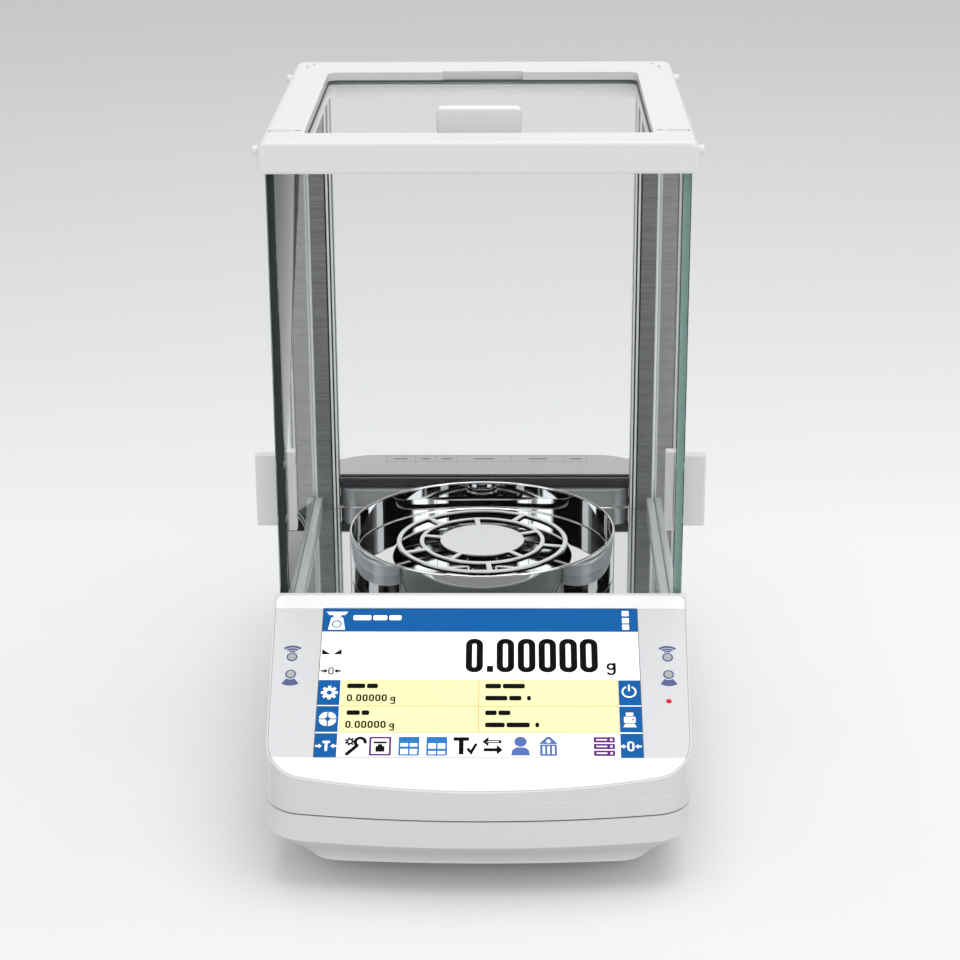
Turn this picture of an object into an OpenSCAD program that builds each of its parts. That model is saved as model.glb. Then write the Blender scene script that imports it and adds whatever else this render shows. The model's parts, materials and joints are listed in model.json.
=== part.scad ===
// Analytical balance with a glass weighing chamber, a sliding top and side
// doors, an openwork pan in a polished draft ring, and a colour touch terminal.
// Origin: centre of the footprint, on the bench. X across, +Y to the rear, +Z up.

/* [Body] */
// Overall depth of the body, front edge to rear edge
body_d = 355; // [354:0.5:357]
// Width of the body at the chamber
body_w = 201.2; // [200.8:0.1:202]
// Width of the body at its front corners
front_w = 197.6; // [196:0.1:199]
// Width of the body at its rear corners
rear_w = 192; // [188:0.5:196]
// Plan radius of the bowed front
front_r = 490; // [460:5:560]
// Plan radius of the front corners
corner_r = 20; // [16:1:22]
// Plan radius of the rear corners
rear_r = 33; // [28:1:36]
// Height of the parting line between casing and tray
seam_z = 39.5; // [39:0.1:40]
// Height at which the tray starts to narrow downwards
edge_z = 25.6; // [24:0.1:28]
// Underside of the tray above the bench
bottom_z = 11.7; // [11.6:0.1:12]
// How far the underside is set back at front and rear
sole_inset = 12; // [8:0.5:14]
// Half width of the underside
sole_hw = 77; // [76:0.5:82]
// Wall of the cast tray
tray_wall = 3.2; // [2.5:0.1:3.5]
// Wall of the moulded casing
case_wall = 2.5; // [2.2:0.1:2.6]
// Height of the rear deck
deck_z = 93; // [92.5:0.1:93.2]

/* [Terminal] */
// Slope of the terminal panel
panel_tilt = 27.64; // [27.5:0.01:27.8]
// Y of the lower edge of the screen
screen_y = -159.76; // [-160:0.01:-159.5]
// Height of the lower edge of the screen
screen_z = 63.17; // [63:0.01:63.4]
// Active width of the screen
screen_w = 152.4; // [150:0.1:153]
// Active height of the screen
screen_h = 88.9; // [87:0.1:89.5]
// Thickness of the panel skin
skin_t = 1.2; // [1:0.1:1.4]
// Radius of each touch-free sensor window
sensor_r = 1.9; // [1.8:0.1:2.6]

/* [Chamber] */
// Y of the pan, ring and cell axis
pan_y = 0; // [-0.2:0.1:0.3]
// Height of the chamber floor
floor_z = 91.2; // [91:0.1:91.4]
// Thickness of the side door glass
door_t = 4; // [3.8:0.1:4]
// Inner face of the side door glass from the middle
door_x = 94; // [93.9:0.05:94.1]
// Length of the side doors
door_l = 168; // [164:1:170]
// Front face of the front glass
front_glass_y = -72; // [-72.1:0.05:-71.95]
// Outer radius of the draft ring
ring_r = 68.2; // [64:0.2:68.4]
// Height of the draft ring rim
ring_top = 115.9; // [112:0.1:118]
// Wall of the draft ring
ring_wall = 1.3; // [1:0.1:1.6]
// Outer radius of the pan
pan_r = 44; // [42:0.1:44.5]
// Top of the pan
pan_top = 108.5; // [107.5:0.1:109]

/* [Frame] */
// Width of the top frame
frame_w = 201.2; // [200.8:0.1:202]
// Underside of the top frame
frame_z0 = 318; // [317.8:0.1:318.2]
// Top of the top frame
frame_z1 = 333; // [332.6:0.1:333.4]
// Half width of the top opening
open_hw = 80.6; // [80:0.1:81]
// Front face of the top frame
bar_y0 = -81; // [-82:0.5:-80]
// Front edge of the top opening
open_y0 = -60; // [-60.5:0.1:-59.5]
// Rear edge of the top opening
open_y1 = 96; // [95.8:0.1:96.2]
// Rear face of the top frame
bar_y1 = 129; // [127:0.5:131]

/* [Grips and feet] */
// Height of the lower end of the side grips
grip_z0 = 138; // [130:1:145]
// Length of the outer side grips
grip_h = 36; // [30:1:40]
// How far the outer grips stand out from the glass
grip_out = 11.5; // [9:0.5:12]
// Thickness of the grips
grip_t = 6; // [5:0.5:7]
// Distance of the feet from the middle, across
foot_x = 60; // [56:1:62]
// Distance of the rear feet from the middle, along
foot_y = 138; // [134:1:142]
// Distance of the front feet from the middle, along
front_foot_y = 122; // [118:1:138]
// Radius of the foot pads
pad_r = 12; // [10:0.5:13]
// Radius of the levelling wheels
wheel_r = 15; // [14:0.5:16]

/* [Hidden] */
$fn = 96;

// Plan outline: centres of the front arc, the front corners and the rear corners
arc_y = -body_d / 2 + front_r;
cor_x = front_w / 2 - corner_r;
cor_y = arc_y - sqrt(pow(front_r - corner_r, 2) - cor_x * cor_x);
rc_x = rear_w / 2 - rear_r;
rc_y = body_d / 2 - rear_r;
wide_y = -76;
narrow_y = 40;

// Chamber glass and grooves
gap = 0.4;
door_y0 = front_glass_y + 3.3;
door_z0 = 94;
door_z1 = 326.5;
top_hw = 86.2;
slot_z0 = 324.6;
slot_z1 = 328.4;
shelf_z = floor_z - 1;
sill_y0 = 93;
sill_y1 = 105;
sill_top = 101.6;
ring_floor = 100.8;

// Rear connectors
port_z = 66;
com_x = [-1.1, 30.1];
com_pitch = 24.99;
lan_x = -49;
usb_x = [-35.2, -23];
dc_x = 52.3;

// Case screws and their posts
post_x = 70;
post_y = [-100, 18, 122];

// Weighing cell
cell_x = 30;
lever_z = 60;
pivot_y = 26;
pot_y = 86;
cal_y = -62;

white = "#f1f1f0";
body_grey = "#dcdcdc";
dark = "#2b2d30";
steel = "#c9ccd0";
glass_c = [0.72, 0.84, 0.83, 0.35];

// ---- plan shapes ----
module outline(d = 0) {
    fr = front_r - d;
    tx = fr * cor_x / (front_r - corner_r);
    intersection() {
        translate([0, arc_y]) circle(r = fr, $fn = 720);
        translate([-tx, -body_d / 2 - 5]) square([2 * tx, body_d / 2]);
    }
    for (s = [-1, 1]) {
        translate([s * cor_x, cor_y]) circle(r = corner_r - d);
        translate([s * rc_x, rc_y]) circle(r = rear_r - d);
    }
    polygon([
        [-(front_w / 2 - d), cor_y], [front_w / 2 - d, cor_y],
        [body_w / 2 - d, wide_y], [body_w / 2 - d, narrow_y], [rear_w / 2 - d, rc_y],
        [rc_x, rc_y], [rc_x, body_d / 2 - d], [-rc_x, body_d / 2 - d], [-rc_x, rc_y],
        [-(rear_w / 2 - d), rc_y], [-(body_w / 2 - d), narrow_y], [-(body_w / 2 - d), wide_y]]);
}

// Outline of the underside, set back from the body
module sole(d = 0) {
    h = sole_hw - d;
    y0 = -body_d / 2 + sole_inset + d;
    y1 = body_d / 2 - sole_inset - d;
    c = 9;
    polygon([[-h, y0 + 18], [-h + 5, y0 + 9], [-h + 17, y0 + 3], [-36, y0 + 0.6],
        [36, y0 + 0.6], [h - 17, y0 + 3], [h - 5, y0 + 9], [h, y0 + 18],
        [h, y1 - 22], [h - 6, y1 - 7], [h - 20, y1], [-h + 20, y1], [-h + 6, y1 - 7],
        [-h, y1 - 22]]);
}

module slice(z) translate([0, 0, z]) linear_extrude(0.02) children();

// Frame of the sloping panel: x across, y up the slope, z out of it
module on_panel() translate([0, screen_y, screen_z]) rotate([panel_tilt, 0, 0]) children();

module box(x0, x1, y0, y1, z0, z1) translate([x0, y0, z0]) cube([x1 - x0, y1 - y0, z1 - z0]);

module rod(x, y, z0, z1, r) translate([x, y, z0]) cylinder(r = r, h = z1 - z0);

module at_feet() for (x = [-foot_x, foot_x], y = [-front_foot_y, foot_y]) translate([x, y, 0]) children();

module under_panel(depth) on_panel() translate([-150, -120, -200]) cube([300, 600, 200 - depth]);

// ---- body ----
module bottom_tray() color(body_grey) difference() {
    union() {
        difference() {
            union() {
                translate([0, 0, edge_z - 0.02]) linear_extrude(seam_z - 0.5 - edge_z + 0.02) outline(0);
                hull() {
                    slice(edge_z - 0.02) outline(0);
                    slice(bottom_z) sole(0);
                }
            }
            translate([0, 0, edge_z]) linear_extrude(20) outline(tray_wall);
            hull() {
                slice(edge_z) outline(tray_wall);
                slice(bottom_z + tray_wall) sole(tray_wall);
            }
        }
        // foot bosses
        at_feet() translate([0, 0, bottom_z + 1]) cylinder(r = 10, h = 14);
        // screw posts
        for (s = [-1, 1], y = post_y) rod(s * post_x, y, bottom_z + 1, seam_z - 0.3, 5);
        // board posts
        for (x = [-88, -49], y = [34, 106]) rod(x, y, (x < -80) ? 20 : bottom_z + 1, 24, 2.5);
        // rivet that the hook cover turns on
        rod(24, pan_y, 8.8, bottom_z + 1, 2.5);
        rod(24, pan_y, 7.8, 8.9, 4);
    }
    at_feet() translate([0, 0, bottom_z - 1]) cylinder(r = 7, h = 20);
    for (s = [-1, 1], y = post_y) {
        rod(s * post_x, y, bottom_z - 1, seam_z + 1, 2);
        rod(s * post_x, y, bottom_z - 1, 16, 3.8);
    }
    rod(0, pan_y, bottom_z - 1, 20, 12);
}

// Fixing posts inside the casing, ribbed to its side walls
module case_posts() for (s = [-1, 1], y = post_y) {
    rod(s * post_x, y, seam_z - 0.3, 62, 5);
    box(s > 0 ? post_x + 3 : -99, s > 0 ? 99 : -post_x - 3, y - 1, y + 1, seam_z, 60);
}

module base_casing() color(white) difference() {
    intersection() {
        translate([0, 0, seam_z]) linear_extrude(80) outline(0);
        under_panel(skin_t);
        union() {
            box(-120, 120, -200, 200, 0, shelf_z);
            box(-120, 120, -200, front_glass_y - 0.4, 0, 130);
            box(-120, 120, sill_y1 + 0.2, 200, 0, deck_z);
        }
    }
    // cavity, less the fixing posts
    difference() {
        intersection() {
            translate([0, 0, seam_z - 1]) linear_extrude(80) outline(case_wall);
            under_panel(skin_t + case_wall);
            union() {
                box(-120, 120, -200, 172, 0, shelf_z - case_wall);
                box(-120, 120, -200, front_glass_y - 2.6, 0, 130);
            }
        }
        case_posts();
    }
    for (s = [-1, 1], y = post_y) rod(s * post_x, y, seam_z - 2, 57, 1.9);
    // opening behind the screen, and for each sensor
    on_panel() {
        translate([-79, -4, -8]) cube([158, 97, 10]);
        for (s = [-1, 1], y = [48.3, 58.6]) translate([s * 89.5, y, -8]) cylinder(r = 2, h = 10);
        translate([89, 32.6, -8]) cylinder(r = 1, h = 10);
    }
    // opening for the pan spindle
    rod(0, pan_y, 80, 100, 12);
    // recess of the connector field, then one opening per connector
    box(-62, 62, 174.5, 190, 52, 80);
    for (x = com_x) box(x - 9.2, x + 9.2, 165, 180, port_z - 5, port_z + 5);
    box(lan_x - 8.2, lan_x + 8.2, 165, 180, port_z - 7, port_z + 7);
    for (x = usb_x) box(x - 6.1, x + 6.1, 165, 180, port_z - 5.7, port_z + 5.7);
    translate([dc_x, 180, port_z]) rotate([90, 0, 0]) cylinder(r = 5.6, h = 15);
}

// Printed skin round the screen, following the casing
module terminal_panel() color("#f4f4f4") difference() {
    intersection() {
        translate([0, 0, seam_z]) linear_extrude(80) outline(0.8);
        on_panel() translate([-150, -40, -skin_t]) cube([300, 138.3, skin_t]);
    }
    on_panel() {
        translate([-screen_w / 2, 0, -5]) cube([screen_w, screen_h, 10]);
        for (s = [-1, 1], y = [48.3, 58.6]) translate([s * 89.5, y, -5]) cylinder(r = sensor_r, h = 10);
        translate([89, 32.6, -5]) cylinder(r = 1.2, h = 10);
    }
}

module display_glass() color("#1c2126") on_panel()
    translate([-screen_w / 2 + 0.05, 0.05, -skin_t]) cube([screen_w - 0.1, screen_h - 0.1, skin_t - 0.05]);

module lcd_module() color("#8f949a") on_panel() {
    translate([-78, -3, -7.2]) cube([156, 95, 7.2 - skin_t]);
}

module terminal_board() color("#1f6b3a") on_panel() {
    translate([-72, 4, -8.8]) cube([144, 80, 1.6]);
    translate([-20, 30, -11.3]) cube([26, 26, 2.5]);
    translate([40, 20, -12]) cube([16, 10, 3.2]);
    translate([-60, 12, -11]) cube([22, 6, 2.2]);
}

module sensor_windows() color("#9aa2ad") on_panel()
    for (s = [-1, 1], y = [48.3, 58.6]) translate([s * 89.5, y, 0]) {
        translate([0, 0, -skin_t]) cylinder(r = sensor_r, h = skin_t + 0.15);
        translate([0, 0, -6]) cylinder(r = 1.7, h = 6 - skin_t);
    }

module status_led() color("#e02020") on_panel() translate([89, 32.6, 0]) {
    translate([0, 0, -skin_t]) cylinder(r = 1.2, h = skin_t + 0.1);
    translate([0, 0, -5]) cylinder(r = 1, h = 5 - skin_t);
}

module main_board() color("#1f6b3a") {
    box(-92, -45, 28, 112, 24, 25.6);
    box(-80, -60, 50, 70, 25.6, 28.4);
    box(-88, -74, 84, 98, 25.6, 28);
    box(-58, -50, 40, 100, 25.6, 33);
    rod(-84, 38, 25.6, 36, 4);
    rod(-72, 38, 25.6, 36, 4);
}

module io_board() color("#1f6b3a") {
    box(-60, 60, 158, 159.6, 46, 84);
    box(-30, -10, 155.4, 158, 48, 56);
    box(10, 24, 155.8, 158, 66, 80);
}

module dc_jack() color(dark) translate([dc_x, 0, port_z]) rotate([-90, 0, 0]) {
    difference() {
        union() {
            translate([0, 0, 159.6]) cylinder(r = 5.5, h = 15.2);
            translate([0, 0, 174.5]) cylinder(r = 6.6, h = 2.2);
        }
        translate([0, 0, 164]) cylinder(r = 2.85, h = 20);
    }
    translate([0, 0, 163]) cylinder(r = 1.05, h = 12.5);
}

// Nine-pin serial connectors with their screw posts
module serial_ports() color(steel) for (x = com_x) translate([x, 0, port_z]) difference() {
    union() {
        translate([-9, 159.6, -4.8]) cube([18, 15, 9.6]);
        translate([-15.2, 174.5, -6.2]) cube([30.4, 0.8, 12.4]);
        translate([0, 177.3, 0]) rotate([90, 0, 0]) linear_extrude(2.5)
            polygon([[-8.2, 4.1], [8.2, 4.1], [8.6, 3.4], [7.3, -3.6], [6.6, -4.1], [-6.6, -4.1], [-7.3, -3.6], [-8.6, 3.4]]);
        for (s = [-1, 1]) translate([s * com_pitch / 2, 177.2, 0]) rotate([90, 0, 0]) cylinder(r = 2.7, h = 2.4, $fn = 6);
    }
    translate([0, 190, 0]) rotate([90, 0, 0]) linear_extrude(17)
        polygon([[-7.5, 3.5], [7.5, 3.5], [6.3, -3.4], [-6.3, -3.4]]);
    for (s = [-1, 1]) translate([s * com_pitch / 2, 180, 0]) rotate([90, 0, 0]) cylinder(r = 1.25, h = 10);
}

module usb_ports() color(steel) {
    // type B
    translate([usb_x[0], 0, port_z]) difference() {
        translate([-6, 159.6, -5.6]) cube([12, 16.6, 11.2]);
        difference() {
            translate([-4.3, 165, -4]) cube([8.6, 12, 8]);
            translate([-2.8, 160, -1.6]) cube([5.6, 15, 3.2]);
        }
    }
    // type A
    translate([usb_x[1], 0, port_z]) difference() {
        translate([-3.6, 159.6, -5.6]) cube([7.2, 16.6, 11.2]);
        translate([-2.8, 162, -4.9]) cube([3.8, 15, 9.8]);
        translate([-2.8, 174.5, -4.9]) cube([5.6, 3, 9.8]);
    }
}

module ethernet_port() color(steel) translate([lan_x, 0, port_z]) difference() {
    translate([-7.7, 159.6, -6.8]) cube([15.4, 16.8, 13.6]);
    translate([-5.9, 164, -5.4]) cube([11.8, 14, 8.4]);
    translate([-3, 164, 2.9]) cube([6, 14, 2.6]);
}

// ---- feet ----
module foot_pad(x, y) color("#2a2a2a") translate([x, y, 0]) difference() {
    union() {
        cylinder(r = pad_r, h = 3.4);
        translate([0, 0, 3.3]) cylinder(r1 = pad_r, r2 = pad_r - 2, h = 1.8);
    }
    translate([0, 0, 2]) cylinder(r = 3.2, h = 6);
}
module foot_pad_front_left() foot_pad(-foot_x, -front_foot_y);
module foot_pad_front_right() foot_pad(foot_x, -front_foot_y);
module foot_pad_rear_left() foot_pad(-foot_x, foot_y);
module foot_pad_rear_right() foot_pad(foot_x, foot_y);

module foot_screw(x, y) color("#3a3c3f") translate([x, y, 0]) {
    difference() {
        translate([0, 0, 5.4]) cylinder(r = wheel_r, h = 4.8);
        for (a = [0:15:345]) rotate([0, 0, a]) translate([wheel_r + 0.9, 0, 5]) cylinder(r = 1.6, h = 6);
    }
    translate([0, 0, 2.3]) cylinder(r = 3, h = 4);
    translate([0, 0, 10]) cylinder(r = 3.98, h = 25);
}
module foot_screw_front_left() foot_screw(-foot_x, -front_foot_y);
module foot_screw_front_right() foot_screw(foot_x, -front_foot_y);
module foot_screw_rear_left() foot_screw(-foot_x, foot_y);
module foot_screw_rear_right() foot_screw(foot_x, foot_y);

module foot_inserts() color("#c9a24a") at_feet() difference() {
    translate([0, 0, bottom_z + 0.1]) cylinder(r = 7, h = 14.8);
    translate([0, 0, 5]) cylinder(r = 4.03, h = 30);
}

module case_screws() color(steel) for (s = [-1, 1], y = post_y) translate([s * post_x, y, 0]) difference() {
    union() {
        translate([0, 0, 13.2]) cylinder(r = 3.6, h = 2.8);
        translate([0, 0, 15.9]) cylinder(r = 1.9, h = 40);
    }
    translate([-0.5, -2.4, 12]) cube([1, 4.8, 2.4]);
    translate([-2.4, -0.5, 12]) cube([4.8, 1, 2.4]);
}

// Cover under the below-balance hook opening
module hook_cover() color(white) difference() {
    union() {
        rod(0, pan_y, 9.2, 11.4, 15.5);
        box(0, 24, pan_y - 6, pan_y + 6, 9.2, 11.4);
        rod(24, pan_y, 9.2, 11.4, 6);
    }
    rod(24, pan_y, 5, 20, 2.56);
}

// ---- weighing cell ----
module cell_base() color("#b9bcc0") {
    difference() {
        box(-32, 32, 18, 150, bottom_z + tray_wall, 32);
        for (s = [-1, 1], y = [40, 130]) rod(s * 22, y, 24, 33, 3);
    }
    difference() {
        box(-cell_x, cell_x, 118, 150, 31.9, 84);
        box(-20, 20, 124, 151, 44, 74);
    }
    for (s = [-1, 1]) box(s > 0 ? 8.4 : -14, s > 0 ? 14 : -8.4, pivot_y - 5, pivot_y + 5, 31.9, 65);
    translate([-9, pivot_y, lever_z]) rotate([0, 90, 0]) cylinder(r = 1.5, h = 18);
}

module guide(z) color("#c4c7cb") difference() {
    box(-cell_x, cell_x, pan_y + 10.4, 117.7, z, z + 2);
    box(-24, 24, pan_y + 19, 110, z - 1, z + 3);
}
module upper_guide() guide(78);
module lower_guide() guide(38);

module hanger() color("#c4c7cb") difference() {
    union() {
        box(-14, 14, pan_y - 10, pan_y + 10, 36, 84);
        rod(0, pan_y, 83.9, 103, 4);
        rod(0, pan_y, 30, 36.1, 5);
        for (s = [-1, 1]) box(s > 0 ? 10 : -14, s > 0 ? 14 : -10, -42, pan_y - 9, 38, 43);
    }
    rod(0, pan_y, 20, 42, 1.65);
}

module lever_beam() color("#d0d2d5") difference() {
    union() {
        box(-8, 8, pan_y + 11.2, 101, lever_z - 4, lever_z + 4);
        box(-0.5, 0.5, 100.9, 112.4, lever_z - 2, lever_z + 2);
        translate([0, pot_y, 0]) rod(0, 0, lever_z - 4, lever_z + 4, 17);
    }
    translate([-20, pivot_y, lever_z]) rotate([0, 90, 0]) cylinder(r = 1.56, h = 40);
    for (y = [40, 54]) translate([-20, y, lever_z]) rotate([0, 90, 0]) cylinder(r = 2.4, h = 40);
}

module magnet_pot() color("#6f747a") translate([0, pot_y, 0]) difference() {
    translate([0, 0, 32]) cylinder(r = 22, h = 21);
    difference() {
        translate([0, 0, 36]) cylinder(r = 18.2, h = 20);
        translate([0, 0, 30]) cylinder(r = 12, h = 30);
    }
}

module force_coil() color("#b4622c") translate([0, pot_y, 0]) difference() {
    translate([0, 0, 40]) cylinder(r = 16.8, h = lever_z - 44);
    translate([0, 0, 30]) cylinder(r = 13.5, h = 40);
}

module position_sensor() color("#26282b") difference() {
    box(-7, 7, 104.5, 118, 54, 70);
    box(-2, 2, 100, 114, 40, 80);
}

module calibration_weight() color("#d9dbde") translate([-28, -34, 62]) rotate([0, 90, 0]) {
    cylinder(r = 9, h = 56);
}

module calibration_lifter() color("#e6e6e6") difference() {
    union() {
        box(-8, 8, cal_y - 8, cal_y + 8, 48, 56);
        box(-22, 22, -56, -50, 48, 53);
        for (s = [-1, 1]) box(s > 0 ? 18 : -22, s > 0 ? 22 : -18, -51, -25, 48, 53);
    }
    rod(0, cal_y, 40, 60, 3.06);
}

module calibration_motor() color("#54585d") {
    rod(0, cal_y, bottom_z + tray_wall, 34, 12);
    box(-17, 17, cal_y - 4, cal_y + 4, bottom_z + tray_wall, 17);
}

module calibration_screw() color(steel) rod(0, cal_y, 34.2, 74, 3);

// ---- chamber ----
module chamber_floor() color("#d5d7da") difference() {
    union() {
        box(-89.8, 89.8, door_y0 + 0.1, sill_y0 + 0.1, shelf_z, floor_z);
        // raised rear sill with rounded front corners
        translate([0, 0, shelf_z]) linear_extrude(sill_top - shelf_z) intersection() {
            union() {
                translate([-70.4, sill_y0]) square([140.8, sill_y1 - sill_y0]);
                translate([-80.4, sill_y0 + 10]) square([160.8, 20]);
                for (s = [-1, 1]) translate([s * 70.4, sill_y0 + 10]) circle(r = 10);
            }
            translate([-90, sill_y0]) square([180, sill_y1 - sill_y0]);
        }
        rod(0, pan_y, floor_z - 0.1, 95.2, 7.6);
    }
    rod(0, pan_y, 80, 100, 6);
}

module draft_ring() color("#e3e5e8") translate([0, pan_y, 0]) difference() {
    union() {
        translate([0, 0, floor_z + 0.5]) cylinder(r = ring_r, h = ring_top - floor_z - 1, $fn = 180);
        translate([0, 0, ring_top - 0.6]) cylinder(r1 = ring_r, r2 = ring_r - 0.4, h = 0.6, $fn = 180);
    }
    translate([0, 0, ring_floor]) cylinder(r = ring_r - ring_wall, h = 30, $fn = 180);
    translate([0, 0, 80]) cylinder(r = ring_r - ring_wall, h = ring_floor - 1.2 - 80, $fn = 180);
    translate([0, 0, 80]) cylinder(r = 46, h = 40, $fn = 180);
}

module ring_feet() color("#3a3a3a") translate([0, pan_y, 0])
    for (a = [30, 150, 270]) rotate([0, 0, a]) translate([60, 0, floor_z + 0.3]) cylinder(r = 3, h = ring_floor - 1.2 - floor_z - 0.3);

// Openwork pan: disc, two hoops, staggered spokes, and a socket below
module weighing_pan() color("#eceef0") translate([0, pan_y, 0]) difference() {
    union() {
        translate([0, 0, pan_top - 2]) linear_extrude(2) {
            circle(r = 21.6);
            difference() { circle(r = 32.2); circle(r = 30.1); }
            difference() { circle(r = pan_r); circle(r = pan_r - 2.3); }
            for (k = [0:4]) {
                rotate(24 + 72 * k) translate([20, -1.3]) square([11, 2.6]);
                rotate(60 + 72 * k) translate([31, -1.3]) square([pan_r - 32, 2.6]);
            }
        }
        translate([0, 0, 97]) cylinder(r = 8, h = pan_top - 98);
    }
    translate([0, 0, 96]) cylinder(r = 4.05, h = 7.2);
}

module front_glass() color(glass_c)
    box(-98, 98, front_glass_y, front_glass_y + 3, shelf_z, 325);

module door_glass(s) color(glass_c) difference() {
    box(s > 0 ? door_x : -door_x - door_t, s > 0 ? door_x + door_t : -door_x,
        door_y0, door_y0 + door_l, door_z0, door_z1);
    for (z = [grip_z0 + 4, grip_z0 + grip_h - 4]) translate([s * 80, -54, z]) rotate([0, s * 90, 0]) cylinder(r = 1.6, h = 25);
}
module left_door_glass() door_glass(-1);
module right_door_glass() door_glass(1);

module top_door_glass() color(glass_c)
    box(-top_hw, top_hw, open_y0 - 3.8, open_y1 + 2, slot_z0 + 0.4, slot_z1 - 0.4);

// Rounded upright bar, x0..x1 by y0..y1, corner radius r
module bar(x0, x1, y0, y1, z0, z1, r) translate([0, 0, z0]) linear_extrude(z1 - z0) {
    translate([x0 + r, y0]) square([x1 - x0 - 2 * r, y1 - y0]);
    translate([x0, y0 + r]) square([x1 - x0, y1 - y0 - 2 * r]);
    for (x = [x0 + r, x1 - r], y = [y0 + r, y1 - r]) translate([x, y]) circle(r = r);
}

module outer_grip(s) color(white) difference() {
    bar(s > 0 ? 98 : -98 - grip_out, s > 0 ? 98 + grip_out : -98, -54 - grip_t / 2, -54 + grip_t / 2,
        grip_z0, grip_z0 + grip_h, 1.2);
    for (z = [grip_z0 + 4, grip_z0 + grip_h - 4]) translate([s * 80, -54, z]) rotate([0, s * 90, 0]) cylinder(r = 1.5, h = 22);
}
module left_outer_grip() outer_grip(-1);
module right_outer_grip() outer_grip(1);

module inner_grip(s) color(white) difference() {
    bar(s > 0 ? 90 : -door_x, s > 0 ? door_x : -90, -54 - grip_t / 2, -54 + grip_t / 2,
        grip_z0 - 2.5, grip_z0 + grip_h + 2, 0.8);
    for (z = [grip_z0 + 4, grip_z0 + grip_h - 4]) translate([s * 80, -54, z]) rotate([0, s * 90, 0]) {
        cylinder(r = 1.5, h = 25);
        cylinder(r = 2.4, h = 11.5);
    }
}
module left_inner_grip() inner_grip(-1);
module right_inner_grip() inner_grip(1);

module grip_screws(s) color("#5c6066") for (z = [grip_z0 + 4, grip_z0 + grip_h - 4])
    translate([0, -54, z]) rotate([0, s * 90, 0]) difference() {
        union() {
            translate([0, 0, 90.2]) cylinder(r = 2.4, h = 1.3);
            translate([0, 0, 91.4]) cylinder(r = 1.5, h = 10.6);
        }
        translate([0, 0, 90]) cylinder(r = 1.1, h = 0.9, $fn = 6);
    }
module left_grip_screws() grip_screws(-1);
module right_grip_screws() grip_screws(1);

module top_grip() color(white)
    bar(-20, 20, -38 - grip_t / 2, -38 + grip_t / 2, slot_z1 - 0.4, 341, 2);

module rear_glass() color(glass_c) box(-80.3, 80.3, 99, 102, 103.6, 323);

module rear_glass_holder() color("#3c3f44") difference() {
    box(-80.3, 80.3, 96.6, 104.4, sill_top, 107.3);
    box(-82, 82, 99, 102, 103.6, 110);
}

// Aluminium uprights with a fine edge bead and a shadow groove
module rear_columns() color("#a9adb1") for (s = [-1, 1]) difference() {
    box(s > 0 ? 80.8 : -93.5, s > 0 ? 93.5 : -80.8, 94, sill_y1, shelf_z, frame_z0);
    box(s > 0 ? 81.8 : -82.6, s > 0 ? 82.6 : -81.8, 93, 94.8, 80, 330);
    box(s > 0 ? 83.8 : -84.6, s > 0 ? 84.6 : -83.8, 93, 94.8, 80, 330);
    box(s > 0 ? 80 : -81.4, s > 0 ? 81.4 : -80, 98.9, 102.1, 80, 330);
    box(s > 0 ? 92.6 : -94, s > 0 ? 94 : -92.6, 93, 95, 80, 330);
}

module door_tracks() color("#c9ccd0") for (s = [-1, 1]) mirror([s > 0 ? 0 : 1, 0, 0]) difference() {
    box(90, 99.6, door_y0 + 0.1, sill_y1, shelf_z, 97);
    box(door_x - gap, door_x + door_t + gap, -80, 120, door_z0 - 0.3, 110);
    box(80, 93.9, sill_y0 + 0.6, 120, 80, 110);
}

// ---- top frame ----
module frame_stock() intersection() {
    translate([0, 0, frame_z0]) linear_extrude(frame_z1 - frame_z0) {
        hw = frame_w / 2;
        translate([-hw + 5, bar_y0]) square([2 * hw - 10, bar_y1 - bar_y0]);
        translate([-hw, bar_y0 + 5]) square([2 * hw, bar_y1 - bar_y0 - 10]);
        for (i = [-1, 1], y = [bar_y0 + 5, bar_y1 - 5]) translate([i * (hw - 5), y]) circle(r = 5);
    }
    // rounded upper long edges, seen from the front
    translate([0, 200, 0]) rotate([90, 0, 0]) linear_extrude(400) {
        hw = frame_w / 2;
        translate([-hw, frame_z0 - 1]) square([2 * hw, frame_z1 - frame_z0 - 3]);
        translate([-hw + 4, frame_z0 - 1]) square([2 * hw - 8, frame_z1 - frame_z0 + 1]);
        for (i = [-1, 1]) translate([i * (hw - 4), frame_z1 - 4]) circle(r = 4);
    }
}

// Grooves for the doors and the top glass, running the length of the frame
module frame_grooves() {
    box(-top_hw - gap, top_hw + gap, open_y0 - 4.2, 200, slot_z0, slot_z1);
    for (s = [-1, 1]) box(s > 0 ? door_x - gap : -door_x - door_t - gap,
        s > 0 ? door_x + door_t + gap : -door_x + gap, door_y0 - 0.4, 200, 300, door_z1 + 0.5);
    box(-98.3, 98.3, front_glass_y - 0.2, front_glass_y + 3.2, 300, 325.2);
}

// The open middle of the frame, with rounded rear corners
module frame_open() translate([0, 0, 300]) linear_extrude(50) {
    translate([-open_hw, open_y0]) square([2 * open_hw, open_y1 - open_y0 - 5]);
    translate([-open_hw + 5, open_y0]) square([2 * open_hw - 10, open_y1 - open_y0]);
    for (i = [-1, 1]) translate([i * (open_hw - 5), open_y1 - 5]) circle(r = 5);
}

module pin_holes() for (s = [-1, 1]) {
    translate([s * 98.8, -75.5, 328]) rotate([0, s * 90, 0]) cylinder(r = 2.5, h = 10);
    translate([s * 98.8, 103.5, 328]) rotate([0, s * 90, 0]) cylinder(r = 2.5, h = 10);
}

module top_front_bar() color(white) difference() {
    intersection() {
        frame_stock();
        box(-120, 120, -120, -56, 300, 350);
    }
    frame_open();
    frame_grooves();
    pin_holes();
}

module top_side_rails() color(white) difference() {
    intersection() {
        frame_stock();
        box(-120, 120, -55.9, 87.9, 300, 350);
    }
    frame_open();
    frame_grooves();
}

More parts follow.
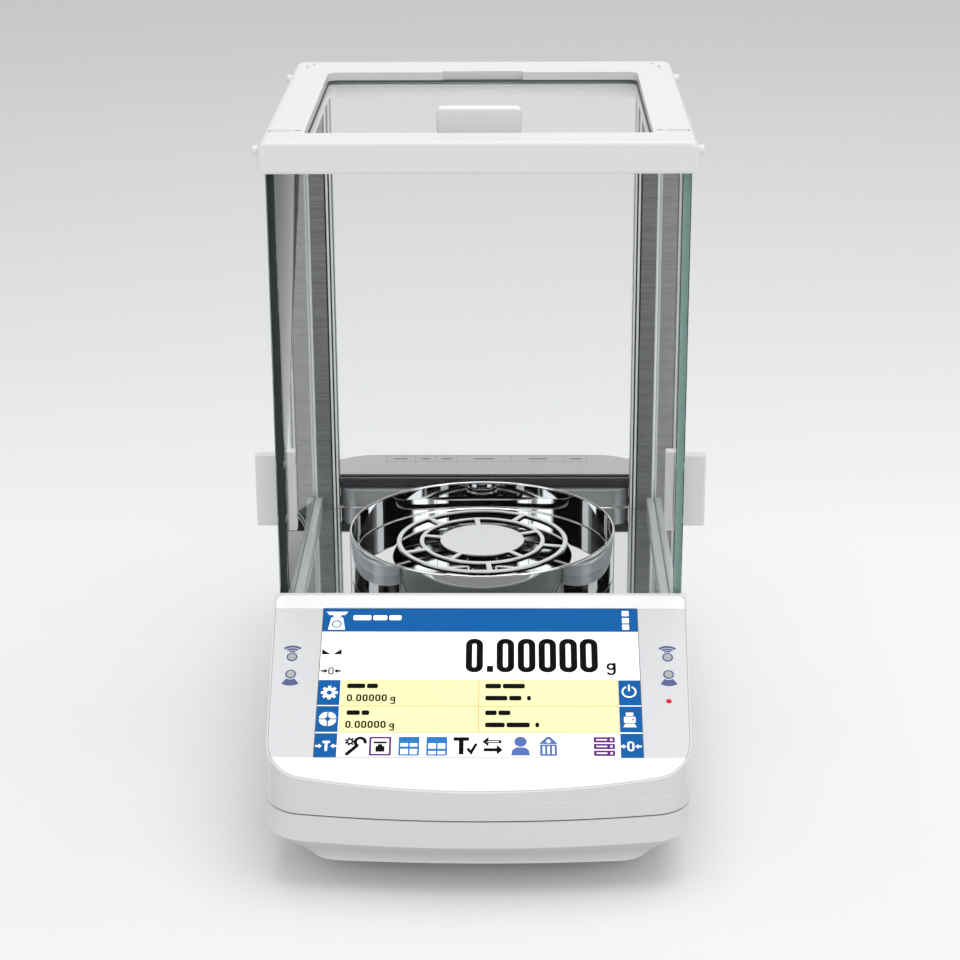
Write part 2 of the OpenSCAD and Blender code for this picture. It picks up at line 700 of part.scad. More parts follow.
module top_rear_bar() color(white) difference() {
    intersection() {
        frame_stock();
        box(-120, 120, 88, 150, 300, 350);
    }
    frame_open();
    frame_grooves();
    pin_holes();
    box(-81, 81, 98.8, 102.2, 300, 323.4);
    // relief for the top grip
    box(-21, 21, 90, 99, slot_z1 - 1, 340);
}

module frame_pins() color(white) for (s = [-1, 1], y = [-75.5, 103.5])
    translate([s * 98.8, y, 328]) rotate([0, s * 90, 0]) {
        cylinder(r = 2.5, h = 3.9);
        translate([0, 0, 3.8]) cylinder(r1 = 2.5, r2 = 2, h = 0.6);
    }

bottom_tray();
base_casing();
terminal_panel();
display_glass();
lcd_module();
terminal_board();
sensor_windows();
status_led();
main_board();
io_board();
dc_jack();
serial_ports();
usb_ports();
ethernet_port();
foot_pad_front_left();
foot_pad_front_right();
foot_pad_rear_left();
foot_pad_rear_right();
foot_screw_front_left();
foot_screw_front_right();
foot_screw_rear_left();
foot_screw_rear_right();
foot_inserts();
case_screws();
hook_cover();
cell_base();
upper_guide();
lower_guide();
hanger();
lever_beam();
magnet_pot();
force_coil();
position_sensor();
calibration_weight();
calibration_lifter();
calibration_motor();
calibration_screw();
chamber_floor();
draft_ring();
ring_feet();
weighing_pan();
front_glass();
left_door_glass();
right_door_glass();
top_door_glass();
left_outer_grip();
left_inner_grip();
right_outer_grip();
right_inner_grip();
top_grip();
left_grip_screws();
right_grip_screws();
rear_glass();
rear_glass_holder();
rear_columns();
door_tracks();
top_front_bar();
top_side_rails();
top_rear_bar();
frame_pins();
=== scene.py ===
import bpy, bmesh, json, math
from mathutils import Vector, Matrix
from mathutils.geometry import tessellate_polygon

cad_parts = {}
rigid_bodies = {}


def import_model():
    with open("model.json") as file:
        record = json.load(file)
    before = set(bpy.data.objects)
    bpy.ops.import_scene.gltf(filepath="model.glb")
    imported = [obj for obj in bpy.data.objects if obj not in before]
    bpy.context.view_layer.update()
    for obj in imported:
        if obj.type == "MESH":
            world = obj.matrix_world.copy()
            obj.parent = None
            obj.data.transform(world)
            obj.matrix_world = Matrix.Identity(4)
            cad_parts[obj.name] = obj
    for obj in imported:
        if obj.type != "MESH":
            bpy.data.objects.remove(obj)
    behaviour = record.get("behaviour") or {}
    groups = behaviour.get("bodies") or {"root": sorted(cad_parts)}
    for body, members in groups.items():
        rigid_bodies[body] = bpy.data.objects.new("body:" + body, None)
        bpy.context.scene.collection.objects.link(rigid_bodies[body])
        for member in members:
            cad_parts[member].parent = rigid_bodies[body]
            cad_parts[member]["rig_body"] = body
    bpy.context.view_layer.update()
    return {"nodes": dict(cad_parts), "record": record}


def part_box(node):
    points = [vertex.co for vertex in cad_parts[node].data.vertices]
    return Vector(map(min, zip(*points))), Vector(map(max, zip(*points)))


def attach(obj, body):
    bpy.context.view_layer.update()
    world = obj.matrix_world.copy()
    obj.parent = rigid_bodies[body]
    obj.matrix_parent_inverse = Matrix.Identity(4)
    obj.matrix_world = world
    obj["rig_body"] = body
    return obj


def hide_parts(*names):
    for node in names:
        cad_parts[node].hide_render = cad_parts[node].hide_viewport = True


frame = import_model()
NODES = frame["nodes"]
scene = bpy.context.scene
MM = 0.001
rad = math.radians


def lin(h):
    """sRGB hex to linear RGB."""
    c = [int(h[i:i + 2], 16) / 255 for i in (0, 2, 4)]
    return tuple(x / 12.92 if x <= 0.04045 else ((x + 0.055) / 1.055) ** 2.4 for x in c)


# ------------------------------------------------------------------ materials
def mat(name, base, rough=0.4, metal=0.0, scale=900.0, amp=0.02, ramp=0.04, bump=0.02,
        grain=4000.0, spec=0.5, coat=0.0, aniso=0.0, stretch=(1, 1, 1), emit=0.0, wear=0.0):
    """Principled surface with a mottled base, uneven roughness and a fine grain."""
    m = bpy.data.materials.new(name)
    m.use_nodes = True
    nt = m.node_tree
    N, L = nt.nodes, nt.links
    p = N["Principled BSDF"]
    p.inputs["Metallic"].default_value = metal
    p.inputs["Specular IOR Level"].default_value = spec
    p.inputs["Coat Weight"].default_value = coat
    p.inputs["Coat Roughness"].default_value = 0.08
    p.inputs["Anisotropic"].default_value = aniso
    tc = N.new("ShaderNodeTexCoord")
    mp = N.new("ShaderNodeMapping")
    mp.inputs["Scale"].default_value = stretch
    L.new(tc.outputs["Object"], mp.inputs["Vector"])
    n1 = N.new("ShaderNodeTexNoise")
    n1.inputs["Scale"].default_value = scale
    n1.inputs["Detail"].default_value = 4
    L.new(mp.outputs["Vector"], n1.inputs["Vector"])
    n2 = N.new("ShaderNodeTexNoise")
    n2.inputs["Scale"].default_value = grain
    n2.inputs["Detail"].default_value = 2
    L.new(mp.outputs["Vector"], n2.inputs["Vector"])
    b = Vector(base)
    mx = N.new("ShaderNodeMix")
    mx.data_type = "RGBA"
    mx.inputs["A"].default_value = (*(b * (1 - amp)), 1)
    mx.inputs["B"].default_value = (*[min(1, v) for v in b * (1 + amp)], 1)
    L.new(n1.outputs["Fac"], mx.inputs["Factor"])
    L.new(mx.outputs["Result"], p.inputs["Base Color"])
    mr = N.new("ShaderNodeMapRange")
    mr.inputs["To Min"].default_value = max(0.0, rough - ramp)
    mr.inputs["To Max"].default_value = rough + ramp
    L.new(n1.outputs["Fac"], mr.inputs["Value"])
    L.new(mr.outputs["Result"], p.inputs["Roughness"])
    bp = N.new("ShaderNodeBump")
    bp.inputs["Strength"].default_value = bump
    bp.inputs["Distance"].default_value = 0.0001
    L.new(n2.outputs["Fac"], bp.inputs["Height"])
    L.new(bp.outputs["Normal"], p.inputs["Normal"])
    if emit:
        L.new(mx.outputs["Result"], p.inputs["Emission Color"])
        p.inputs["Emission Strength"].default_value = emit
    return m


def glass_mat(name, tint, rough=0.0, ior=1.5):
    m = bpy.data.materials.new(name)
    m.use_nodes = True
    nt = m.node_tree
    N, L = nt.nodes, nt.links
    p = N["Principled BSDF"]
    out = N["Material Output"]
    p.inputs["Transmission Weight"].default_value = 1.0
    p.inputs["IOR"].default_value = ior
    tc = N.new("ShaderNodeTexCoord")
    n1 = N.new("ShaderNodeTexNoise")
    n1.inputs["Scale"].default_value = 30.0
    n1.inputs["Detail"].default_value = 3
    L.new(tc.outputs["Object"], n1.inputs["Vector"])
    mx = N.new("ShaderNodeMix")
    mx.data_type = "RGBA"
    t = Vector(tint)
    mx.inputs["A"].default_value = (*(t * 0.995), 1)
    mx.inputs["B"].default_value = (*t, 1)
    L.new(n1.outputs["Fac"], mx.inputs["Factor"])
    L.new(mx.outputs["Result"], p.inputs["Base Color"])
    mr = N.new("ShaderNodeMapRange")
    mr.inputs["To Min"].default_value = rough
    mr.inputs["To Max"].default_value = rough + 0.012
    L.new(n1.outputs["Fac"], mr.inputs["Value"])
    L.new(mr.outputs["Result"], p.inputs["Roughness"])
    tr = N.new("ShaderNodeBsdfTransparent")
    tr.inputs["Color"].default_value = (0.95, 0.965, 0.96, 1)
    lp = N.new("ShaderNodeLightPath")
    ms = N.new("ShaderNodeMixShader")
    L.new(lp.outputs["Is Shadow Ray"], ms.inputs["Fac"])
    L.new(p.outputs["BSDF"], ms.inputs[1])
    L.new(tr.outputs["BSDF"], ms.inputs[2])
    L.new(ms.outputs["Shader"], out.inputs["Surface"])
    return m


M = {
    "tray_paint": mat("tray_paint", lin("dedede"), 0.36, scale=700, amp=0.012, bump=0.05, grain=2600, coat=0.15),
    "casing_plastic": mat("casing_plastic", lin("dddddd"), 0.34, scale=500, amp=0.01, bump=0.04, grain=3200, coat=0.1),
    "frame_plastic": mat("frame_plastic", lin("e3e3e3"), 0.36, scale=420, amp=0.01, bump=0.04, grain=3000, coat=0.1),
    "grip_plastic": mat("grip_plastic", lin("dedede"), 0.38, scale=600, amp=0.012, bump=0.06, grain=2600),
    # top grip: the grip plastic painted lighter, painted light making up for the shade it sits in behind the front bar
    "grip_painted_lit": mat("grip_painted_lit", lin("eeeeee"), 0.38, scale=600, amp=0.012, bump=0.06, grain=2600),
    "column_aluminium": mat("column_aluminium", lin("969798"), 0.4, 0.85, scale=60, amp=0.42, ramp=0.1, bump=0.3,
                            grain=120, aniso=0.3, stretch=(1, 1, 15)),
    # painted highlight (near white) and painted shade (dark) for the rear columns' side faces and thin edge strips
    "column_painted_highlight": mat("column_painted_highlight", lin("f0f1f2"), 0.3, 0.2, scale=300, amp=0.03, bump=0.02),
    "column_painted_shade": mat("column_painted_shade", lin("3c3e40"), 0.5, 0.2, scale=300, amp=0.06, bump=0.03),
    # sill: satin finish, its darker grey painted shade for the dim reflection it shows
    "sill_satin_painted_shade": mat("sill_satin_painted_shade", lin("a3a4a6"), 0.3, 0.5, scale=260, amp=0.03, ramp=0.05, bump=0.03),
    "gap_shade_dark": mat("gap_shade_dark", lin("4a4c4e"), 0.6, scale=600, amp=0.08, bump=0.06),
    "track_aluminium": mat("track_aluminium", lin("d3d4d6"), 0.32, 0.55, scale=80, amp=0.08, bump=0.1, grain=500,
                           aniso=0.4, stretch=(20, 1, 20)),
    "graphite_holder": mat("graphite_holder", lin("303235"), 0.36, 0.0, scale=900, amp=0.08, bump=0.08),
    "polished_steel": mat("polished_steel", lin("eff0f1"), 0.02, 1.0, scale=60, amp=0.01, ramp=0.012, bump=0.002, grain=900),
    "floor_steel": mat("floor_steel", lin("e9eaeb"), 0.05, 1.0, scale=50, amp=0.012, ramp=0.02, bump=0.006, grain=900),
    "pan_steel": mat("pan_steel", lin("e8e9ea"), 0.3, 1.0, scale=220, amp=0.02, ramp=0.05, bump=0.05, grain=2600),
    "module_steel": mat("module_steel", lin("b4b7ba"), 0.32, 1.0, scale=300, amp=0.04, bump=0.05),
    "circuit_board": mat("circuit_board", lin("1f5a36"), 0.45, scale=500, amp=0.12, bump=0.06),
    "sensor_lens": mat("sensor_lens", lin("a9abae"), 0.22, scale=900, amp=0.03, bump=0.01, coat=0.3),
    "sensor_ring": mat("sensor_ring", lin("2c3767"), 0.4, scale=900, amp=0.05),
    "led_lens": mat("led_lens", lin("d81e2c"), 0.4, scale=900, amp=0.05, spec=0.1, emit=0.1),
    "black_plastic": mat("black_plastic", lin("222427"), 0.42, scale=700, amp=0.08, bump=0.07),
    "connector_shell": mat("connector_shell", lin("c0c3c6"), 0.26, 1.0, scale=400, amp=0.04, bump=0.04),
    "foot_rubber": mat("foot_rubber", lin("26272a"), 0.75, scale=500, amp=0.12, bump=0.18, grain=1800),
    "wheel_plastic": mat("wheel_plastic", lin("3a3c3f"), 0.46, scale=700, amp=0.08, bump=0.08),
    "brass": mat("brass", lin("c9a55b"), 0.28, 1.0, scale=400, amp=0.05, bump=0.05),
    "screw_steel": mat("screw_steel", lin("9a9da1"), 0.3, 1.0, scale=500, amp=0.05, bump=0.05),
    "cell_aluminium": mat("cell_aluminium", lin("b5b8ba"), 0.4, 1.0, scale=300, amp=0.05, bump=0.08),
    "magnet_steel": mat("magnet_steel", lin("6d7074"), 0.35, 1.0, scale=300, amp=0.06, bump=0.05),
    "coil_copper": mat("coil_copper", lin("b06a3c"), 0.35, 1.0, scale=900, amp=0.08, bump=0.1),
    "weight_steel": mat("weight_steel", lin("c4c6c9"), 0.22, 1.0, scale=300, amp=0.03, bump=0.03),
    "clear_glass": glass_mat("clear_glass", (0.985, 0.992, 0.99)),
    "rear_clear": glass_mat("rear_clear", (0.99, 0.995, 0.993), 0.0, 1.1),
    # glass edges: the green-teal hue is the glass's own; the left door's dark front edge is painted shade, the right
    # door's brighter teal front edge painted light
    "edge_painted_shade": mat("edge_painted_shade", lin("363f3d"), 0.4, spec=0.15, scale=300, amp=0.2, ramp=0.08, bump=0.05, grain=1500),
    "edge_teal_painted_lit": mat("edge_teal_painted_lit", lin("8fb0a8"), 0.25, scale=260, amp=0.12, ramp=0.08, bump=0.05, grain=1500, coat=0.2),
    "edge_pale": mat("edge_pale", lin("b6c4c1"), 0.25, scale=260, amp=0.06, ramp=0.08, bump=0.05, grain=1500, coat=0.2),
    "line_grey": mat("line_grey", lin("77797c"), 0.5, scale=900, amp=0.05),
    "panel_white": mat("panel_white", lin("f3f4f5"), 0.24, scale=500, amp=0.006, bump=0.015, coat=0.15),
    "screen_glass": mat("screen_glass", lin("14171b"), 0.3, scale=600, amp=0.05, bump=0.01, coat=0.3),
    "ui_white": mat("ui_white", lin("ffffff"), 0.5, spec=0.04, scale=400, amp=0.004, bump=0.008, emit=0.3),
    "ui_blue": mat("ui_blue", lin("1560a6"), 0.5, spec=0.04, scale=400, amp=0.02, bump=0.008, emit=0.1),
    "ui_yellow": mat("ui_yellow", lin("faf3b8"), 0.5, spec=0.04, scale=400, amp=0.008, bump=0.008, emit=0.16),
    "ui_line": mat("ui_line", lin("eecf8c"), 0.5, spec=0.04, scale=400, amp=0.01, emit=0.1),
    "ui_black": mat("ui_black", lin("0b0c0e"), 0.5, spec=0.04, scale=400, amp=0.06, bump=0.008),
    "ui_grey": mat("ui_grey", lin("4e5156"), 0.5, spec=0.04, scale=400, amp=0.06, bump=0.008),
    "ui_purple": mat("ui_purple", lin("6b2c82"), 0.5, spec=0.04, scale=400, amp=0.03, emit=0.05),
    "ui_sky": mat("ui_sky", lin("2e7cc4"), 0.5, spec=0.04, scale=400, amp=0.03, emit=0.08),
    "ui_slate": mat("ui_slate", lin("5b76b8"), 0.5, spec=0.04, scale=400, amp=0.03, emit=0.06),
    "navy": mat("navy", lin("434d8c"), 0.35, scale=600, amp=0.04),
}


def film_mat():
    """White printed film with pale grey zones left and right of the screen."""
    m = mat("panel_film", lin("fafafa"), 0.3, scale=500, amp=0.005, bump=0.015, coat=0.12)
    nt = m.node_tree
    N, L = nt.nodes, nt.links
    p = N["Principled BSDF"]
    src = p.inputs["Base Color"].links[0].from_socket
    tc = N.new("ShaderNodeTexCoord")
    sx = N.new("ShaderNodeSeparateXYZ")
    L.new(tc.outputs["Object"], sx.inputs[0])

    def op(kind, a, b):
        q = N.new("ShaderNodeMath")
        q.operation = kind
        for i, v in enumerate((a, b)):
            if isinstance(v, (int, float)):
                q.inputs[i].default_value = v
            elif v is not None:
                L.new(v, q.inputs[i])
        return q.outputs[0]

    ax = op("ABSOLUTE", sx.outputs["X"], None)
    side = op("GREATER_THAN", ax, 0.0762)
    up = op("GREATER_THAN", sx.outputs["Y"], -0.15976)
    low = op("LESS_THAN", sx.outputs["Y"], -0.15976 + 0.0886 * math.cos(T))
    mask = op("MULTIPLY", op("MULTIPLY", side, up), low)
    mx = N.new("ShaderNodeMix")
    mx.data_type = "RGBA"
    L.new(mask, mx.inputs["Factor"])
    L.new(src, mx.inputs["A"])
    mx.inputs["B"].default_value = (*lin("d8d9db"), 1)
    L.new(mx.outputs["Result"], p.inputs["Base Color"])
    return m


def painted_shade_zone(m, h, gate):
    """Painted shade: a darker second colour where the object coordinates pass the gate (axis, smallest, largest) tests.
    """
    nt = m.node_tree
    N, L = nt.nodes, nt.links
    p = N["Principled BSDF"]
    src = p.inputs["Base Color"].links[0].from_socket
    tc = N.new("ShaderNodeTexCoord")
    sx = N.new("ShaderNodeSeparateXYZ")
    L.new(tc.outputs["Object"], sx.inputs[0])
    last = None
    for axis, lo, hi in gate:
        q = N.new("ShaderNodeMapRange")
        q.interpolation_type = "SMOOTHSTEP"
        q.inputs["From Min"].default_value = lo
        q.inputs["From Max"].default_value = hi
        L.new(sx.outputs[axis], q.inputs["Value"])
        out = q.outputs["Result"]
        if last is not None:
            k = N.new("ShaderNodeMath")
            k.operation = "MULTIPLY"
            L.new(last, k.inputs[0])
            L.new(out, k.inputs[1])
            out = k.outputs[0]
        last = out
    mx = N.new("ShaderNodeMix")
    mx.data_type = "RGBA"
    L.new(last, mx.inputs["Factor"])
    L.new(src, mx.inputs["A"])
    mx.inputs["B"].default_value = (*lin(h), 1)
    L.new(mx.outputs["Result"], p.inputs["Base Color"])


T = rad(27.64)
M["panel_film"] = film_mat()
# painted shade: the rear deck top turned a darker grey
painted_shade_zone(M["casing_plastic"], "b2b2b2", (("Z", 0.0918, 0.0926), ("Y", 0.1045, 0.1052)))
# painted shade: the pan nearly black below its top face, so the ring mirrors it dark
painted_shade_zone(M["pan_steel"], "161617", (("Z", 0.1079, 0.1076),))
# painted shade on the terminal's rear wall facing the chamber, greyed for how the ring mirrors it
painted_shade_zone(M["casing_plastic"], "97989a", (("Y", -0.0733, -0.0726), ("Y", -0.0714, -0.0721), ("X", -0.0985, -0.0970),
                                        ("X", 0.0985, 0.0970), ("Z", 0.0903, 0.0908), ("Z", 0.1083, 0.1074)))
# painted shade on the tray's undercut chamfer, darkest just below the edge
painted_shade_zone(M["tray_paint"], "c2c2c2", (("Z", 0.0258, 0.0251), ("Z", 0.0118, 0.0215)))


# ------------------------------------------------------------------ mesh helpers
def panel(x, s, n=0.0):
    """Point of the sloping panel: x across, s up the slope, n out of it, in mm."""
    return Vector((x, -159.76 + s * math.cos(T) - n * math.sin(T),
                   63.17 + s * math.sin(T) + n * math.cos(T))) * MM


def row(x, y, z):
    return Vector((x, y, z)) * MM


def piece(name, bm, mats, body, rep=(), angle=32, weighted=True):
    me = bpy.data.meshes.new(name)
    bmesh.ops.recalc_face_normals(bm, faces=bm.faces[:])
    bm.to_mesh(me)
    bm.free()
    o = bpy.data.objects.new(name, me)
    scene.collection.objects.link(o)
    return dress(o, mats, body, rep, angle, weighted)


def dress(o, mats, body, rep=(), angle=32, weighted=True):
    me = o.data
    for p in me.polygons:
        p.use_smooth = True
    me.set_sharp_from_angle(angle=rad(angle))
    if len(me.materials):
        me.materials.clear()
    for m in mats:
        me.materials.append(m)
    if weighted:
        w = o.modifiers.new("normals", "WEIGHTED_NORMAL")
        w.keep_sharp = True
        w.weight = 50
    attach(o, body)
    if rep:
        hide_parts(*rep)
    return o


def temp(bm, name="tmp"):
    me = bpy.data.meshes.new(name)
    bmesh.ops.recalc_face_normals(bm, faces=bm.faces[:])
    bm.to_mesh(me)
    bm.free()
    o = bpy.data.objects.new(name, me)
    scene.collection.objects.link(o)
    return o


def boolean(o, cutters, op="DIFFERENCE"):
    for c in cutters:
        m = o.modifiers.new("cut", "BOOLEAN")
        m.operation, m.object, m.solver = op, c, "EXACT"
    bpy.context.view_layer.update()
    dg = bpy.context.evaluated_depsgraph_get()
    me = bpy.data.meshes.new_from_object(o.evaluated_get(dg))
    o.modifiers.clear()
    o.data = me
    for c in cutters:
        bpy.data.objects.remove(c)
    return o


def loft(rings, bm=None, close=True):
    """Skin over matching closed rings, capped at both ends."""
    bm = bm or bmesh.new()
    vs = [[bm.verts.new(p) for p in r] for r in rings]
    n = len(vs[0])
    for a, b in zip(vs, vs[1:]):
        for i in range(n):
            bm.faces.new((a[i], a[(i + 1) % n], b[(i + 1) % n], b[i]))
    if close:
        bm.faces.new(list(reversed(vs[0])))
        bm.faces.new(vs[-1])
    else:
        a, b = vs[-1], vs[0]
        for i in range(n):
            bm.faces.new((a[i], a[(i + 1) % n], b[(i + 1) % n], b[i]))
    return bm


def block(x0, x1, y0, y1, z0, z1, at=row):
    bm = bmesh.new()
    c = [(x0, y0), (x1, y0), (x1, y1), (x0, y1)]
    return loft([[at(x, y, z) for x, y in c] for z in (z0, z1)], bm)


def rod(p, q, r, segs=48):
    """Cylinder from p to q, points in mm."""
    p, q = Vector(p), Vector(q)
    d = (q - p).normalized()
    u = d.orthogonal().normalized()
    v = d.cross(u)
    ring = lambda c: [(c + r * (math.cos(a) * u + math.sin(a) * v)) * MM
                      for a in (2 * math.pi * i / segs for i in range(segs))]
    return loft([ring(p), ring(q)])


def merge(*bms):
    """Several closed shapes in one mesh."""
    out = bmesh.new()
    for b in bms:
        me = bpy.data.meshes.new("part")
        b.to_mesh(me)
        b.free()
        out.from_mesh(me)
        bpy.data.meshes.remove(me)
    return out


def inset(poly, d):
    """Contour moved inwards by d; poly runs counter-clockwise (holes clockwise)."""
    n = len(poly)
    out = []
    for i in range(n):
        p0, p1, p2 = Vector(poly[i - 1]), Vector(poly[i]), Vector(poly[(i + 1) % n])
        a, b = (p1 - p0).normalized(), (p2 - p1).normalized()
        na, nb = Vector((-a.y, a.x)), Vector((-b.y, b.x))
        k = (na + nb)
        if k.length < 1e-6:
            k = na
        k.normalize()
        c = max(0.35, k.dot(na))
        out.append(tuple(p1 + k * (d / c)))
    return out


def plate(contours, n0, n1, at, bevel=0.0, segs=2, bm=None, mi=0):
    """Flat shape with holes between n0 and n1, with a rounded upper edge."""
    bm = bm or bmesh.new()
    levels = [(0.0, n0)]
    if bevel:
        for k in range(segs + 1):
            a = math.pi / 2 * k / segs
            levels.append((bevel * (1 - math.cos(a)), n1 - bevel * (1 - math.sin(a))))
    else:
        levels.append((0.0, n1))
    walls = []
    for c in contours:
        walls.append([[bm.verts.new(at(x, y, n)) for x, y in (inset(c, d) if d else c)] for d, n in levels])
    faces = []
    for w in walls:
        m = len(w[0])
        for a, b in zip(w, w[1:]):
            for i in range(m):
                faces.append(bm.faces.new((a[i], a[(i + 1) % m], b[(i + 1) % m], b[i])))
    for k in (0, -1):
        flat = [v for w in walls for v in w[k]]
        d = levels[k][0]
        poly = [[Vector((x, y, 0)) for x, y in (inset(c, d) if d else c)] for c in contours]
        for t in tessellate_polygon(poly):
            try:
                faces.append(bm.faces.new([flat[i] for i in t]))
            except ValueError:
                pass
    for f in faces:
        f.material_index = mi
    return bm


def rrect(x0, y0, x1, y1, r=0.0, k=6, cw=False):
    if r <= 0:
        pts = [(x0, y0), (x1, y0), (x1, y1), (x0, y1)]
    else:
        pts = []
        for cx, cy, a0 in ((x1 - r, y0 + r, -90), (x1 - r, y1 - r, 0), (x0 + r, y1 - r, 90), (x0 + r, y0 + r, 180)):
            for i in range(k + 1):
                a = rad(a0 + 90 * i / k)
                pts.append((cx + r * math.cos(a), cy + r * math.sin(a)))
    return pts[::-1] if cw else pts


def disc(cx, cy, r, k=32, cw=False, a0=0.0, a1=360.0):
    full = abs(a1 - a0) >= 360
    pts = [(cx + r * math.cos(rad(a0 + (a1 - a0) * i / k)), cy + r * math.sin(rad(a0 + (a1 - a0) * i / k)))
           for i in range(k if full else k + 1)]
    return pts[::-1] if cw else pts


def arc_band(cx, cy, r0, r1, a0, a1, k=20):
    return disc(cx, cy, r1, k, False, a0, a1) + disc(cx, cy, r0, k, False, a0, a1)[::-1]


def lathe(profile, cx, cy, segs=256):
    """Closed (r, z) profile turned about a vertical axis."""
    rings = []
    for i in range(segs):
        a = 2 * math.pi * i / segs
        rings.append([row(cx + r * math.cos(a), cy + r * math.sin(a), z) for r, z in profile])
    return loft(rings, close=False)


def soften(node, width, slot=None, segs=3, angle=30, mats=None, pick=None, name=None, sharp=32, paint=None):
    """The CAD shape with its edges rounded."""
    src = NODES[node]
    bm = bmesh.new()
    bm.from_mesh(src.data)
    bmesh.ops.remove_doubles(bm, verts=bm.verts[:], dist=3e-6)
    bmesh.ops.dissolve_limit(bm, angle_limit=rad(0.25), use_dissolve_boundaries=False,
                             verts=bm.verts[:], edges=bm.edges[:])
    es = [e for e in bm.edges if len(e.link_faces) == 2 and abs(e.calc_face_angle(0)) > rad(angle)
          and (pick is None or pick(e))]
    if es:
        bmesh.ops.bevel(bm, geom=es, offset=width * MM, offset_type="OFFSET", segments=segs, profile=0.5,
                        affect="EDGES", clamp_overlap=True)
    if paint:
        for f in bm.faces:
            f.material_index = paint(f.calc_center_median() * 1000)
    return piece(name or (node + "_soft"), bm, mats or [M[slot]], src["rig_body"], (node,), sharp)


# ------------------------------------------------------------------ plan outline
def outline(d):
    """Plan outline inset by d, counter-clockwise from the rear middle, always the same number of points."""
    h = []
    R, t1 = 490 - d, rad(9.652)
    for i in range(36):
        t = t1 * i / 36
        h.append((R * math.sin(t), 312.5 - R * math.cos(t)))
    r, a0 = 20 - d, -90 + 9.652
    for i in range(20):
        a = rad(a0 + (0 - a0) * i / 20)
        h.append((78.8 + r * math.cos(a), -150.847 + r * math.sin(a)))
    for i in range(8):
        y = -150.85 + 74.85 * i / 8
        h.append((98.8 + 1.8 * i / 8 - d, y))
    for i in range(6):
        h.append((100.6 - d, -76 + 116 * i / 6))
    for i in range(8):
        k = i / 8
        h.append((100.6 - 4.6 * k - d, 40 + 104.5 * k))
    r = 33 - d
    for i in range(24):
        a = rad(90 * i / 24)
        h.append((63 + r * math.cos(a), 144.5 + r * math.sin(a)))
    for i in range(8):
        h.append((63 * (1 - i / 8), 177.5 - d))
    return h + [(0, 177.5 - d)] + [(-x, y) for x, y in h[:0:-1]]


def sole(d):
    """Outline of the underside, matched point for point to outline()."""
    h = []
    hw, y0, y1 = 77 - d, -165.5 + d, 165.5 - d
    R, t1 = 828.0, math.asin(63 / 828.0)
    for i in range(36):
        t = t1 * i / 36
        h.append((R * math.sin(t) * (1 - d / 90), y0 + R * (1 - math.cos(t))))
    p0, p1, p2 = (63 * (1 - d / 90), y0 + R * (1 - math.cos(t1))), (hw, y0 + 3.2), (hw, y0 + 18)
    for i in range(20):
        k = i / 20
        h.append(tuple((1 - k) ** 2 * a + 2 * k * (1 - k) * b + k * k * c for a, b, c in zip(p0, p1, p2)))
    span = (y0 + 18, y1 - 22)
    ys = [-150.85 + 74.85 * i / 8 for i in range(8)] + [-76 + 116 * i / 6 for i in range(6)] + \
         [40 + 104.5 * i / 8 for i in range(8)]
    for y in ys:
        h.append((hw, span[0] + (y + 150.85) / (144.5 + 150.85) * (span[1] - span[0])))
    p0, p1, p2 = (hw, y1 - 22), (hw, y1), (hw - 20, y1)
    for i in range(24):
        k = i / 24
        h.append(tuple((1 - k) ** 2 * a + 2 * k * (1 - k) * b + k * k * c for a, b, c in zip(p0, p1, p2)))
    for i in range(8):
        h.append(((hw - 20) * (1 - i / 8), y1))
    return h + [(0, y1)] + [(-x, y) for x, y in h[:0:-1]]


def mix_ring(d, w, z, ds=None):
    a, b = outline(d), sole(d if ds is None else ds)
    return [row(p[0] * (1 - w) + q[0] * w, p[1] * (1 - w) + q[1] * w, z) for p, q in zip(a, b)]


